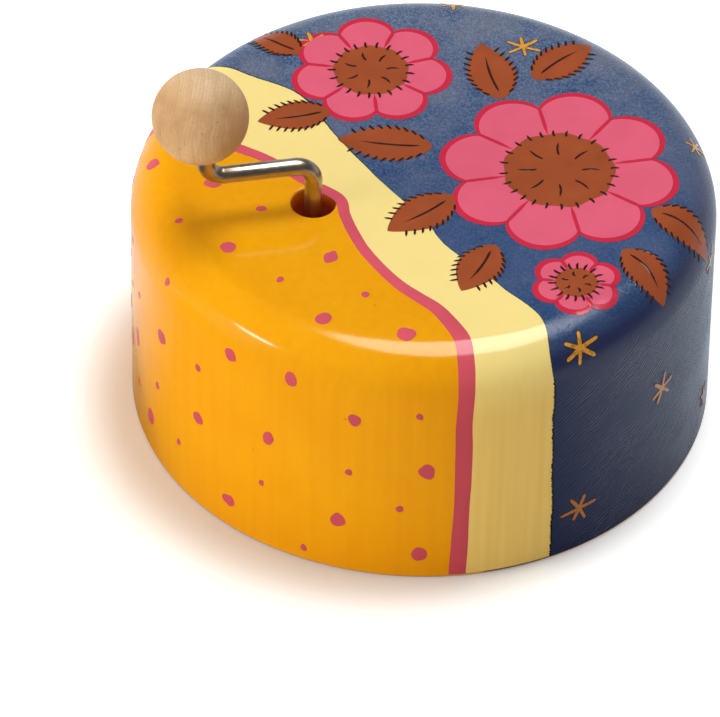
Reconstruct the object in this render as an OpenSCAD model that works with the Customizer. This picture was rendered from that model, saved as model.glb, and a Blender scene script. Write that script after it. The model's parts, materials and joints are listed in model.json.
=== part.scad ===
// Hand-cranked cylinder music box: a round turned wooden case with a pinned-cylinder
// movement hung under its top, driven by a bent wire crank through a worm and wheel.
// Origin: centre of the case's foot. +Z is up, and the crank shaft stands on the -X side.
// The movement is drawn in a bench frame: its bedplate lies on z = 0 with the crank shaft
// on the z axis, and hang() turns it over and puts it against the underside of the case top.

/* [Case] */
// Outside diameter of the turned wooden case
case_d = 92; // [88:1:104]
// Height of the case
case_h = 44; // [40:1:60]
// Rounding radius of the top edge
edge_r = 7.7; // [4:0.1:9]
// Wood left between the top face and the hollow
top_t = 7; // [6:0.5:9]
// Wall from the hollow out to the side
wall_t = 12; // [11:0.5:14]
// Wood left outside the recess for the base disc
rim_t = 5; // [4:0.5:6]
// Bevel along the bottom outer edge
foot_bevel = 0.6; // [0.2:0.1:1]
// Bevel round the mouth of the crank hole
hole_bevel = 0.4; // [0.1:0.1:0.8]

/* [Base disc] */
// Thickness of the plywood base disc
base_t = 4; // [3:0.5:6]
// Bevel along the disc's lower edge
disc_bevel = 0.4; // [0.2:0.1:0.8]
// How far the disc sits up inside the foot rim
base_recess = 0.8; // [0.4:0.1:1.5]
// Screws that hold the disc
base_screws_n = 4; // [3:1:6]

/* [Crank] */
// Distance of the crank shaft from the middle of the case
crank_offset = 18.9; // [17:0.1:20.5]
// Diameter of the hole in the case top
crank_hole_d = 7; // [5:0.5:8]
// Diameter of the crank wire
wire_d = 2.8; // [2.4:0.1:3.1]
// Height of the arm's centreline above the case top
crank_lift = 7.7; // [6:0.1:12]
// Length of the arm, from the shaft to the knob's pin
crank_throw = 16.7; // [13:0.1:18]
// Centreline radius of both bends
bend_r = 3; // [2.5:0.1:3.6]
// Bevel at both cut ends of the wire
wire_bevel = 0.2; // [0.1:0.05:0.4]
// Outward lean of the knob's pin
pin_lean = 5; // [0:1:10]
// Direction of the arm at rest
crank_angle = 167; // [0:1:359]

/* [Knob] */
// Diameter of the wooden ball
knob_d = 15; // [14:0.5:20]
// Height of the ball's underside above the arm's centreline
knob_gap = 4.9; // [4.2:0.1:8]
// Depth of the blind hole in the ball
knob_bore_depth = 10.4; // [9:0.1:12]
// Bevel round the mouth of that hole
mouth_bevel = 0.25; // [0.1:0.05:0.4]
// Wall of the sleeve in the ball
sleeve_wall = 1; // [0.7:0.1:1.5]
// Depth of the groove that holds the sleeve on the pin
snap_groove = 0.25; // [0.2:0.05:0.4]
// Width of that groove
snap_w = 1; // [0.8:0.1:1.4]

/* [Worm drive] */
// Teeth on the worm wheel
wheel_teeth = 24; // [24:1:27]
// Axial pitch of the worm's single thread
thread_pitch = 1.7; // [1.6:0.05:1.85]
// Pitch diameter of the worm
worm_d = 5.2; // [5.1:0.1:5.8]
// Length of the threaded part of the worm
worm_len = 7; // [6:0.2:9]
// Length of the plain collar at each end of the worm
worm_collar = 1; // [0.6:0.1:1.6]
// Face width of the wheel
wheel_w = 3; // [2.8:0.1:4]

/* [Tune cylinder] */
// Outside diameter of the brass cylinder
barrel_d = 13; // [12:0.1:13]
// Wall of the cylinder
barrel_wall = 0.8; // [0.6:0.1:1.2]
// Height of the pins above the cylinder
pin_h = 0.6; // [0.4:0.05:0.7]
// Diameter of the pins
pin_d = 0.45; // [0.4:0.05:0.5]
// Steps of the tune round the cylinder
tune_steps = 56; // [48:1:60]
// Diameter of the steel arbor
arbor_d = 2; // [1.6:0.1:2.6]
// Bevel at both ends of the arbor
arbor_bevel = 0.2; // [0.1:0.05:0.4]

/* [Comb] */
// Teeth of the comb
comb_teeth = 18; // [16:1:20]
// Distance from tooth to tooth
tooth_pitch = 1.05; // [1:0.01:1.1]
// Width of the cut between two teeth
tooth_slot = 0.25; // [0.2:0.01:0.3]
// Free length of the longest tooth
bass_len = 16; // [14:0.5:17]
// Free length of the shortest tooth
treble_len = 11; // [9:0.5:13]
// Thickness of the teeth
tooth_t = 0.6; // [0.4:0.05:0.8]
// Thickness of the comb's body
comb_t = 1.8; // [1.4:0.1:2.4]
// Length of the comb's body behind the longest tooth
comb_body = 7; // [6.5:0.1:8]
// Teeth that carry a lead weight
weighted_teeth = 7; // [4:1:9]
// Height of the lead weight under the lowest tooth
weight_h = 1.6; // [1:0.1:2]

/* [Bedplate] */
// Turn of the movement about the crank shaft
movement_angle = -62; // [-66:1:-58]
// Thickness of the cast bedplate
bed_t = 2.5; // [2:0.1:3.5]
// Width of the rim left round the window under the cylinder
bed_rim = 4; // [3:0.1:5]
// Thickness of the two arbor lugs
lug_t = 2.5; // [2:0.1:3]
// Half width of an arbor lug
lug_r = 3; // [2.5:0.1:3.5]
// How far an arbor lug widens on each side at its foot
lug_flare = 1.2; // [0.2:0.1:1.4]
// Height of the boss round the crank shaft
boss_h = 2.5; // [1.5:0.1:3]
// Radius of that boss
boss_r = 3.8; // [3:0.1:4]
// Distance of each bridge post from the crank shaft, along the arbor
post_x = 7; // [6.6:0.1:7.4]
// Radius of the bridge posts
post_r = 2.4; // [2.1:0.1:2.6]
// Thickness of the steel bridge
bridge_t = 1.8; // [1.4:0.1:2.4]

/* [Fasteners] */
// Shank diameter of the wood screws
wood_screw_d = 2.6; // [2.2:0.1:3]
// Head diameter of the wood screws
wood_head_d = 5; // [4.6:0.1:5.4]
// Length of the base screws in the wall
base_bite = 9; // [6:0.5:14]
// Wood left above the tips of the bedplate screws
screw_skin = 2.2; // [1.5:0.1:3]
// Shank diameter of the machine screws
machine_d = 2; // [1.6:0.1:2.2]
// Head diameter of the machine screws
machine_head_d = 4; // [3.6:0.1:4.4]
// Height of the slotted screw heads
head_h = 1.4; // [1:0.1:1.8]
// Depth that the machine screws enter the casting
machine_bite = 5; // [3:0.1:5.5]
// Thickness of the thrust washer
washer_t = 0.5; // [0.3:0.1:0.8]
// Outside diameter of the thrust washer
washer_d = 5.6; // [5:0.1:6.4]
// Thickness of the retaining clip
clip_t = 0.6; // [0.4:0.1:0.8]
// Metal of the clip outside the wire
clip_rim = 1.4; // [1:0.1:1.8]
// Depth of the clip's groove in the wire
clip_groove = 0.4; // [0.3:0.05:0.5]

/* [Fits] */
// Radial play of a shaft in its bearing
run_gap = 0.05; // [0.02:0.01:0.08]
// End play between turning and fixed faces
end_gap = 0.2; // [0.1:0.05:0.3]
// Clearance of the base disc in its recess
disc_gap = 0.2; // [0.1:0.05:0.4]
// Gap between the pins and the comb's tips
tip_gap = 0.1; // [0.05:0.01:0.2]
// Play of a screw's shank in its hole
screw_gap = 0.05; // [0.02:0.01:0.1]

/* [Hidden] */
$fn = 72;
// Hair's overlap that joins two shapes, and how far a cut runs past the face it opens
eps = 0.01;
over = 1;

// Case and base disc
case_r = case_d / 2;
hollow_r = case_r - wall_t;
recess_r = case_r - rim_t;
disc_r = recess_r - disc_gap;
ledge_z = base_recess + base_t;
ceiling_z = case_h - top_t;
base_screw_r = (hollow_r + recess_r) / 2;
wood_r = wood_screw_d / 2;
wood_head_r = wood_head_d / 2;
machine_r = machine_d / 2;
machine_head_r = machine_head_d / 2;

// Screw heads: upright share of the height, crown as a share of the radius, and the point's
// share of the shank. Slots and cross recesses are cut by width and by reach from the middle.
head_upright = 0.6;
head_crown = 0.72;
screw_point = 0.35;
wood_slot_w = 0.8;
machine_slot_w = 0.6;
recess_w = 0.6;
recess_reach = 0.55;
// Spare depth under a screw's tip
tip_room = 0.4;

// Crank and knob
wire_r = wire_d / 2;
knob_r = knob_d / 2;
arm_z = case_h + crank_lift;
pin_bend = 90 - pin_lean;
pin_tangent = bend_r * tan(pin_bend / 2);
swell = 0.004;
lap = 0.05;
sleeve_r = wire_r + run_gap + sleeve_wall;
sleeve_inset = 0.4;
sleeve_from = knob_gap + sleeve_inset;
sleeve_to = knob_gap + knob_bore_depth;
pin_to = sleeve_to - sleeve_wall - run_gap;
snap_from = (sleeve_from + pin_to) / 2;
mouth_z = knob_gap + knob_r - sqrt(pow(knob_r, 2) - pow(sleeve_r, 2));

// Worm and wheel: straight flanks on both, thinned at the pitch line for backlash
flank = 20;
module_mm = thread_pitch / PI;
addendum = 0.92 * module_mm;
dedendum = 1.2 * module_mm;
worm_r = worm_d / 2;
worm_share = 0.4;
wheel_share = 0.42;
wheel_r = wheel_teeth * thread_pitch / (2 * PI);
wheel_tip_r = wheel_r + addendum;
lead_angle = atan(thread_pitch / (PI * worm_d));
wheel_floor = 1.5;

// Bench frame of the movement: the arbor lies along x
arbor_y = -(wheel_r + worm_r);
axis_z = bed_t + wheel_floor + wheel_tip_r;
arbor_r = arbor_d / 2;
barrel_r = barrel_d / 2;
bore_r = barrel_r - barrel_wall;
shoulder_t = 0.5;
flange_step = 0.2;
plug_len = 3;
margin = 1.2;
barrel_x = wheel_w / 2 + shoulder_t;
barrel_len = 2 * margin + (comb_teeth - 1) * tooth_pitch;
cap_x = barrel_x + barrel_len;
left_lug_x = -wheel_w / 2 - shoulder_t - end_gap;
right_lug_x = cap_x + shoulder_t + end_gap;
tip_y = arbor_y - barrel_r - pin_h - tip_gap;
comb_back = tip_y - bass_len - comb_body;
comb_x = barrel_x + margin - tooth_pitch / 2;
comb_w = comb_teeth * tooth_pitch;
comb_low = axis_z - comb_t / 2;
comb_high = axis_z + comb_t / 2;
ledge_setback = 0.5;
ledge_len = comb_body - ledge_setback;
thin_share = 0.7;
least_weight = 0.4;
weight_len = 3;
weight_back = 1;
post_y = 3.6;
worm_low = axis_z - worm_len / 2 - worm_collar;
worm_high = axis_z + worm_len / 2 + worm_collar;
washer_z = worm_high + end_gap / 2;
bridge_z = washer_z + washer_t + end_gap / 2;
clip_z = bridge_z + bridge_t + end_gap / 2;
clip_r = wire_r + clip_rim;
clip_bore_r = wire_r - clip_groove;
clip_mouth = 1.6 * clip_bore_r;
clip_notch_r = 0.4 * clip_rim;
clip_notch_turn = 65;
shaft_tail = 1.2;
shaft_end = clip_z + clip_t + shaft_tail;
bed_left = -post_x - post_r;
bed_right = right_lug_x + lug_t;
bed_front = post_y + post_r;
bed_corner = 2;
ear_rim = 0.9;
ear_r = wood_head_r + ear_rim;
ear_reach = 1.6;
ear_back = 4;
ear_y = comb_back / 2 - ear_back;
bed_screws = [[bed_left - ear_reach, ear_y],
              [bed_right + ear_reach, ear_y],
              [post_x + post_r + 2 * ear_r, bed_front - ear_r]];
bed_screw_bite = top_t - screw_skin;
comb_screw_x = [comb_x + comb_w / 4, comb_x + comb_w * 3 / 4];
comb_screw_setback = 0.2;
comb_screw_y = comb_back + comb_body / 2 - comb_screw_setback;

// Bench frame to its place: turned over, against the underside of the case top
module hang()
    translate([-crank_offset, 0, ceiling_z])
        rotate([0, 0, movement_angle]) rotate([180, 0, 0]) children();

// Along the arbor, from its x position in the bench frame
module on_arbor(x)
    translate([x, arbor_y, axis_z]) rotate([0, 90, 0]) children();

// Along the knob's pin, measured from the arm's centreline
module on_pin()
    translate([-crank_offset, 0, arm_z]) rotate([0, 0, crank_angle])
        translate([crank_throw, 0, 0]) rotate([0, pin_lean, 0]) children();

module ring_of(n, r)
    for (i = [0:n - 1]) rotate([0, 0, 45 + 360 * i / n]) translate([r, 0, 0]) children();

// Rod with its foot at z = 0 and a bevel at either end
module rod(r, h, low = 0, high = 0)
    rotate_extrude() polygon([[0, 0],
        each low > 0 ? [[r - low, 0], [r, low]] : [[r, 0]],
        each high > 0 ? [[r, h - high], [r - high, h]] : [[r, h]],
        [0, h]]);

// Slotted screw head with its shank, head towards +z and its seat at z = 0
module pan_screw(head_r, shank_r, length, slot_w) {
    difference() {
        union() {
            cylinder(r = head_r, h = head_h * head_upright);
            translate([0, 0, head_h * head_upright])
                cylinder(r1 = head_r, r2 = head_r * head_crown, h = head_h * (1 - head_upright));
        }
        translate([-head_r - over, -slot_w / 2, head_h / 2]) cube([2 * (head_r + over), slot_w, head_h]);
    }
    translate([0, 0, -length + shank_r]) cylinder(r = shank_r, h = length - shank_r + eps);
    translate([0, 0, -length]) cylinder(r1 = shank_r * screw_point, r2 = shank_r, h = shank_r);
}

// Case -------------------------------------------------------------------------------

module case_profile()
    difference() {
        square([case_r, case_h]);
        translate([case_r - edge_r, case_h - edge_r]) difference() {
            square(edge_r + over);
            circle(r = edge_r);
        }
        square([hollow_r, ceiling_z]);
        square([recess_r, ledge_z]);
        polygon([[case_r - foot_bevel, 0], [case_r + over, -over],
                 [case_r + over, foot_bevel + over], [case_r, foot_bevel]]);
    }

module case()
    color("orange") difference() {
        rotate_extrude() case_profile();
        translate([-crank_offset, 0, ceiling_z - over]) cylinder(d = crank_hole_d, h = top_t + 2 * over);
        translate([-crank_offset, 0, case_h - hole_bevel])
            cylinder(r1 = crank_hole_d / 2, r2 = crank_hole_d / 2 + 2 * hole_bevel, h = 2 * hole_bevel);
        ring_of(base_screws_n, base_screw_r)
            translate([0, 0, ledge_z - over])
                cylinder(r = wood_r + screw_gap, h = base_bite + over + tip_room);
        hang() for (p = bed_screws)
            translate([p[0], p[1], -bed_screw_bite - tip_room])
                cylinder(r = wood_r + screw_gap, h = bed_screw_bite + tip_room + over);
    }

// The disc lies up against the ledge inside the foot rim
module base_disc()
    color("burlywood") difference() {
        translate([0, 0, base_recess]) rod(disc_r, base_t, low = disc_bevel);
        ring_of(base_screws_n, base_screw_r) {
            translate([0, 0, base_recess - over]) cylinder(r = wood_r + screw_gap, h = base_t + 2 * over);
            translate([0, 0, base_recess - over]) cylinder(r = wood_head_r, h = over + screw_gap);
            translate([0, 0, base_recess + screw_gap]) screw_cone();
        }
    }

// Countersunk head, its flat at z = 0
module screw_cone() cylinder(r1 = wood_head_r, r2 = wood_r, h = wood_head_r - wood_r);

module base_screws()
    color("silver") ring_of(base_screws_n, base_screw_r) translate([0, 0, base_recess + screw_gap])
        difference() {
            union() {
                screw_cone();
                cylinder(r = wood_r, h = base_t + base_bite - wood_r);
                translate([0, 0, base_t + base_bite - wood_r])
                    cylinder(r1 = wood_r, r2 = wood_r * screw_point, h = wood_r);
            }
            for (turn = [0, 90]) rotate([0, 0, turn])
                translate([-wood_head_r * recess_reach, -recess_w / 2, -over])
                    cube([2 * wood_head_r * recess_reach, recess_w, 2 * over]);
        }

// Movement frame ---------------------------------------------------------------------

module bed_outline() {
    translate([bed_left, comb_back]) offset(r = bed_corner) offset(delta = -bed_corner)
        square([bed_right - bed_left, bed_front - comb_back]);
    for (p = [bed_screws[0], bed_screws[1]]) translate(p) circle(r = ear_r);
}

// Upright lug that carries one end of the arbor, wider at its foot
module arbor_lug(x)
    translate([x, arbor_y, bed_t]) rotate([0, 90, 0]) rotate([0, 0, 180]) linear_extrude(lug_t) {
        polygon([[-eps, -lug_r - lug_flare], [axis_z - bed_t, -lug_r],
                 [axis_z - bed_t, lug_r], [-eps, lug_r + lug_flare]]);
        translate([axis_z - bed_t, 0]) circle(r = lug_r);
    }

module bedplate()
    color("lightgray") hang() difference() {
        union() {
            linear_extrude(bed_t) difference() {
                bed_outline();
                translate([barrel_x + 1, comb_back + comb_body + bed_rim])
                    square([right_lug_x - barrel_x - bed_rim,
                            -boss_r - comb_back - comb_body - 2 * bed_rim]);
            }
            translate([0, 0, bed_t - eps]) cylinder(r = boss_r, h = boss_h + eps);
            for (side = [-1, 1]) translate([side * post_x, post_y, bed_t - eps])
                cylinder(r = post_r, h = bridge_z - bed_t + eps);
            arbor_lug(left_lug_x - lug_t);
            arbor_lug(right_lug_x);
            translate([comb_x, comb_back, bed_t - eps]) cube([comb_w, ledge_len, comb_low - bed_t + eps]);
        }
        translate([0, 0, -over]) cylinder(r = wire_r + run_gap, h = bed_t + boss_h + 2 * over);
        on_arbor(left_lug_x - lug_t - over)
            cylinder(r = arbor_r, h = right_lug_x - left_lug_x + 2 * (lug_t + over));
        for (p = bed_screws) translate([p[0], p[1], -over])
            cylinder(r = wood_r + screw_gap, h = bed_t + 2 * over);
        for (side = [-1, 1]) translate([side * post_x, post_y, bridge_z - machine_bite - tip_room])
            cylinder(r = machine_r + screw_gap, h = machine_bite + tip_room + over);
        for (x = comb_screw_x) translate([x, comb_screw_y, comb_low - machine_bite - tip_room])
            cylinder(r = machine_r + screw_gap, h = machine_bite + tip_room + over);
    }

module bedplate_screws()
    color("silver") hang() for (p = bed_screws) translate([p[0], p[1], bed_t])
        pan_screw(wood_head_r, wood_r, bed_t + bed_screw_bite, wood_slot_w);

// Flat steel bridge over the worm, the lower bearing of the crank shaft
module crank_bridge()
    color("gray") hang() translate([0, 0, bridge_z]) difference() {
        linear_extrude(bridge_t) {
            hull() for (side = [-1, 1]) translate([side * post_x, post_y]) circle(r = post_r, $fn = 32);
            circle(r = boss_r);
        }
        translate([0, 0, -over]) cylinder(r = wire_r + run_gap, h = bridge_t + 2 * over);
        for (side = [-1, 1]) translate([side * post_x, post_y, -over])
            cylinder(r = machine_r + screw_gap, h = bridge_t + 2 * over);
    }

module bridge_screws()
    color("silver") hang() for (side = [-1, 1]) translate([side * post_x, post_y, bridge_z + bridge_t])
        pan_screw(machine_head_r, machine_r, bridge_t + machine_bite, machine_slot_w);

// Plain steel pin pressed through both lugs
module cylinder_arbor()
    color("silver") hang() on_arbor(left_lug_x - lug_t)
        rod(arbor_r, right_lug_x - left_lug_x + 2 * lug_t, low = arbor_bevel, high = arbor_bevel);

// Comb -------------------------------------------------------------------------------

// Side view: thin teeth that thicken into the body, drawn from the tips at y = 0
module comb_side()
    polygon([[0, -tooth_t / 2], [0, tooth_t / 2],
             [-treble_len * thin_share, tooth_t / 2], [-treble_len, comb_t / 2],
             [-bass_len - comb_body, comb_t / 2], [-bass_len - comb_body, -comb_t / 2],
             [-treble_len, -comb_t / 2], [-treble_len * thin_share, -tooth_t / 2]]);

module comb()
    color("slategray") hang() difference() {
        translate([comb_x, tip_y, axis_z]) rotate([90, 0, 90]) linear_extrude(comb_w) comb_side();
        for (i = [1:comb_teeth - 1]) let (slot_len = treble_len + (bass_len - treble_len) * i / comb_teeth)
            translate([comb_x + i * tooth_pitch - tooth_slot / 2, tip_y - slot_len, comb_low - over])
                cube([tooth_slot, slot_len + over, comb_t + 2 * over]);
        for (x = comb_screw_x) translate([x, comb_screw_y, comb_low - over])
            cylinder(r = machine_r + screw_gap, h = comb_t + 2 * over);
    }

module comb_screws()
    color("silver") hang() for (x = comb_screw_x) translate([x, comb_screw_y, comb_high])
        pan_screw(machine_head_r, machine_r, comb_t + machine_bite, machine_slot_w);

// Lead weights under the lowest teeth, longer and deeper towards the bass end
module bass_weights()
    color("dimgray") hang() for (k = [1:weighted_teeth])
        let (share = k / weighted_teeth, i = comb_teeth - weighted_teeth + k - 1,
             h = weight_h * (least_weight + (1 - least_weight) * share), run = weight_len * share)
            translate([comb_x + i * tooth_pitch + tooth_slot, tip_y - weight_back - run,
                       axis_z - tooth_t / 2 - h])
                cube([tooth_pitch - 2 * tooth_slot, run, h]);

// Crank ------------------------------------------------------------------------------

// A bend of the wire in the XZ plane, from the angle start, counter-clockwise from +X.
// Bends are a hair thicker than the wire, and the straight lengths lap into them.
module wire_bend(start, sweep)
    rotate([0, -start, 0]) rotate([90, 0, 0])
        rotate_extrude(angle = sweep) translate([bend_r, 0]) circle(r = wire_r + swell);

module groove(depth, width)
    difference() {
        cylinder(r = wire_r + over, h = width);
        translate([0, 0, -over]) cylinder(r = wire_r - depth, h = width + 2 * over);
    }

module crank()
    color("lightsteelblue") translate([-crank_offset, 0, 0]) rotate([0, 0, crank_angle]) {
        difference() {
            translate([0, 0, ceiling_z - shaft_end])
                rod(wire_r, arm_z - bend_r - ceiling_z + shaft_end + lap, low = wire_bevel);
            translate([0, 0, ceiling_z - clip_z - clip_t]) groove(clip_groove, clip_t);
        }
        translate([bend_r, 0, arm_z - bend_r]) wire_bend(90, 90);
        translate([bend_r - lap, 0, arm_z]) rotate([0, 90, 0])
            cylinder(r = wire_r, h = crank_throw - pin_tangent - bend_r + 2 * lap);
        translate([crank_throw - pin_tangent, 0, arm_z + bend_r]) wire_bend(-90, pin_bend);
        translate([crank_throw, 0, arm_z]) rotate([0, pin_lean, 0]) difference() {
            translate([0, 0, pin_tangent - lap])
                rod(wire_r, pin_to - pin_tangent + lap, high = wire_bevel);
            translate([0, 0, snap_from]) groove(snap_groove, snap_w);
        }
    }

// Radius of the worm's cross-section at an axial distance s from the middle of the thread
function thread_at(s) =
    let (tip = worm_share * thread_pitch / 2 - addendum * tan(flank),
         root = worm_share * thread_pitch / 2 + dedendum * tan(flank))
    s <= tip ? worm_r + addendum
    : s >= root ? worm_r - dedendum
    : worm_r + addendum - (s - tip) / tan(flank);

thread_sides = 24;
thread_slices = 12;

// Right-hand worm, pressed on the wire. A gap of its thread faces the wheel at rest.
module worm()
    color("goldenrod") hang() difference() {
        union() {
            translate([0, 0, axis_z]) rotate([0, 0, 90 - 180 * worm_len / thread_pitch])
                linear_extrude(worm_len, center = true, twist = -360 * worm_len / thread_pitch,
                               slices = round(thread_slices * worm_len / thread_pitch),
                               segments = thread_sides)
                    polygon([for (i = [0:thread_sides - 1])
                        let (turn = i / thread_sides, s = min(turn, 1 - turn) * thread_pitch)
                            thread_at(s) * [cos(360 * turn), sin(360 * turn)]]);
            translate([0, 0, worm_low]) cylinder(r = worm_r, h = worm_collar + eps);
            translate([0, 0, worm_high - worm_collar - eps]) cylinder(r = worm_r, h = worm_collar + eps);
        }
        translate([0, 0, worm_low - over]) cylinder(r = wire_r, h = worm_high - worm_low + 2 * over);
    }

module thrust_washer()
    color("ivory") hang() translate([0, 0, washer_z]) difference() {
        cylinder(d = washer_d, h = washer_t);
        translate([0, 0, -over]) cylinder(r = wire_r + run_gap, h = washer_t + 2 * over);
    }

// Open-sided clip sprung into the groove under the bridge, notched so that it can flex
module retaining_clip()
    color("dimgray") hang() translate([0, 0, clip_z]) difference() {
        cylinder(r = clip_r, h = clip_t);
        translate([0, 0, -over]) cylinder(r = clip_bore_r, h = clip_t + 2 * over);
        translate([0, -clip_mouth / 2, -over]) cube([clip_r + over, clip_mouth, clip_t + 2 * over]);
        for (side = [-1, 1]) rotate([0, 0, 180 - side * clip_notch_turn])
            translate([clip_bore_r, 0, -over]) cylinder(r = clip_notch_r, h = clip_t + 2 * over);
    }

// Knob -------------------------------------------------------------------------------

module knob()
    color("burlywood") on_pin() difference() {
        translate([0, 0, knob_gap + knob_r]) sphere(d = knob_d);
        cylinder(r = sleeve_r, h = sleeve_to);
        translate([0, 0, mouth_z - mouth_bevel])
            cylinder(r1 = sleeve_r + 2 * mouth_bevel, r2 = sleeve_r, h = 2 * mouth_bevel);
    }

// Closed sleeve pressed into the ball, with a bead that snaps into the pin's groove
module knob_sleeve()
    color("white") on_pin() difference() {
        translate([0, 0, sleeve_from]) cylinder(r = sleeve_r, h = sleeve_to - sleeve_from);
        difference() {
            cylinder(r = wire_r + run_gap, h = pin_to + run_gap);
            translate([0, 0, snap_from + run_gap]) groove(snap_groove - run_gap, snap_w - 2 * run_gap);
        }
    }

// Tune cylinder ----------------------------------------------------------------------

// A plain exercise of broken chords: one pin a step, and a second one on each fourth step.
// The notes rise and fall in waves that repeat after a phrase, and a short arc stays blank.
phrase = 17;
waves = 3;
tune_arc = 345;
function melody(i) = floor((comb_teeth - 1) * (1 + sin(360 * i * waves / phrase)) / 2);
function chord(i) = (melody(i) + floor(comb_teeth / 2)) % comb_teeth;

module tune_pin(track, step)
    rotate([0, 0, tune_arc * step / tune_steps])
        translate([barrel_r - barrel_wall / 2, 0, margin + track * tooth_pitch])
            rotate([0, 90, 0]) cylinder(d = pin_d, h = pin_h + barrel_wall / 2, $fn = 16);

module tune_cylinder()
    color("gold") hang() on_arbor(barrel_x) {
        difference() {
            cylinder(r = barrel_r, h = barrel_len);
            translate([0, 0, -over]) cylinder(r = bore_r, h = barrel_len + 2 * over);
        }
        for (i = [0:tune_steps - 1]) tune_pin(melody(i), i);
        for (i = [0:4:tune_steps - 1]) tune_pin(chord(i), i);
    }

function polar(r, a) = r * [cos(a), sin(a)];

// Half width of a wheel tooth at a height above the pitch line, as an angle
function tooth_half(height) =
    asin((wheel_share * thread_pitch / 2 - height * tan(flank)) / (wheel_r + height));

module worm_wheel()
    color("whitesmoke") hang() on_arbor(-wheel_w / 2) difference() {
        union() {
            let (twist_deg = wheel_w * tan(lead_angle) / wheel_r * 180 / PI)
                rotate([0, 0, -twist_deg / 2]) linear_extrude(wheel_w, twist = -twist_deg, slices = 3)
                    polygon([for (i = [0:wheel_teeth - 1])
                        let (a = 90 + 360 * i / wheel_teeth)
                        each [for (h = [-dedendum, 0, addendum]) polar(wheel_r + h, a - tooth_half(h)),
                              for (h = [addendum, 0, -dedendum]) polar(wheel_r + h, a + tooth_half(h))]]);
            translate([0, 0, -shoulder_t]) cylinder(r = lug_r, h = shoulder_t + eps);
            translate([0, 0, wheel_w - eps]) cylinder(r = barrel_r - flange_step, h = shoulder_t + eps);
            translate([0, 0, wheel_w + shoulder_t - eps]) cylinder(r = bore_r, h = plug_len + eps);
        }
        translate([0, 0, -shoulder_t - over])
            cylinder(r = arbor_r + run_gap, h = wheel_w + 2 * (shoulder_t + over) + plug_len);
    }

module cylinder_cap()
    color("khaki") hang() on_arbor(cap_x - plug_len) difference() {
        union() {
            cylinder(r = bore_r, h = plug_len + eps);
            translate([0, 0, plug_len]) cylinder(r = barrel_r - flange_step, h = shoulder_t);
        }
        translate([0, 0, -over]) cylinder(r = arbor_r + run_gap, h = plug_len + shoulder_t + 2 * over);
    }

case();
base_disc();
base_screws();
bedplate();
bedplate_screws();
crank_bridge();
bridge_screws();
cylinder_arbor();
comb();
comb_screws();
bass_weights();
crank();
worm();
thrust_washer();
retaining_clip();
knob();
knob_sleeve();
tune_cylinder();
worm_wheel();
cylinder_cap();
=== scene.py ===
"""Hand-painted wooden music box: the turned case with its painted bands, dots, stars and
flowers, the bent wire crank with its wooden ball, and the movement inside, in a pale studio.
All lengths are in metres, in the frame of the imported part."""

import json
import math
import random

import bpy
from mathutils import Matrix, Vector, noise


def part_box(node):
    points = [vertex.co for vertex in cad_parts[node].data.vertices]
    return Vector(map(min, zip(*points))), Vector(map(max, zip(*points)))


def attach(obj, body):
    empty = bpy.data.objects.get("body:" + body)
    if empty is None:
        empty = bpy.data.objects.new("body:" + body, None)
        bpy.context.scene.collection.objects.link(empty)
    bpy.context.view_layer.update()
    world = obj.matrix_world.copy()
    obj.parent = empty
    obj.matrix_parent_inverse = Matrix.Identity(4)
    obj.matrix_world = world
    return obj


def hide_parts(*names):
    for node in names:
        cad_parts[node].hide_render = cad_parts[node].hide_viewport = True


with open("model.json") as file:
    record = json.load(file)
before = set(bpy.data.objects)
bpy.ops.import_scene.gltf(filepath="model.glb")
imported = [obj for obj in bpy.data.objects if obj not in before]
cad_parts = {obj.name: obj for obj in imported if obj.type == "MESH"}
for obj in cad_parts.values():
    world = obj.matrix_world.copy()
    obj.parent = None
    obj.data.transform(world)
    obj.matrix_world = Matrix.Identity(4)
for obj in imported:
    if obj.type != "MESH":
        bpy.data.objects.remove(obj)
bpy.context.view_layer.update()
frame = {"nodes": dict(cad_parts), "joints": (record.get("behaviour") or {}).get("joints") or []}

bl_info = {
    "name": "Painted Music Box",
    "version": (1, 0, 0),
    "blender": (4, 5, 0),
    "location": "View3D > Sidebar > Music Box",
    "description": "Dresses a hand-cranked wooden music box in paint, wood and metal",
    "category": "Object",
}

MM = 0.001
CASE_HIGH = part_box("case")[1]
CASE_R = CASE_HIGH.y
CASE_H = CASE_HIGH.z
JOINTS = {joint["name"]: joint for joint in frame["joints"]}
CRANK_AT = Vector(JOINTS["crank_turn"]["pos_m"])
PIN_AT = Vector(JOINTS["knob_spin"]["pos_m"])
PIN_AXIS = Vector(JOINTS["knob_spin"]["axis"]).normalized()

# Vertices closer than this are welded into one
WELD = 0.001 * MM


def rgb(red, green, blue):
    """A colour written in the usual 0 to 255 steps, as the linear light that a shader takes."""
    def linear(step):
        share = step / 255
        return share / 12.92 if share <= 0.04045 else ((share + 0.055) / 1.055) ** 2.4
    return (linear(red), linear(green), linear(blue))


# Sizes and colours that a user may change ------------------------------------------------

def length(name, default, description):
    return bpy.props.FloatProperty(
        name=name, default=default, min=0.0, unit="LENGTH", subtype="DISTANCE",
        precision=5, description=description)


def colour(name, default, description):
    return bpy.props.FloatVectorProperty(
        name=name, default=default, min=0.0, max=1.0, size=3, subtype="COLOR",
        description=description)


def amount(name, default, description):
    return bpy.props.FloatProperty(name=name, default=default, min=0.0, description=description)


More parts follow.
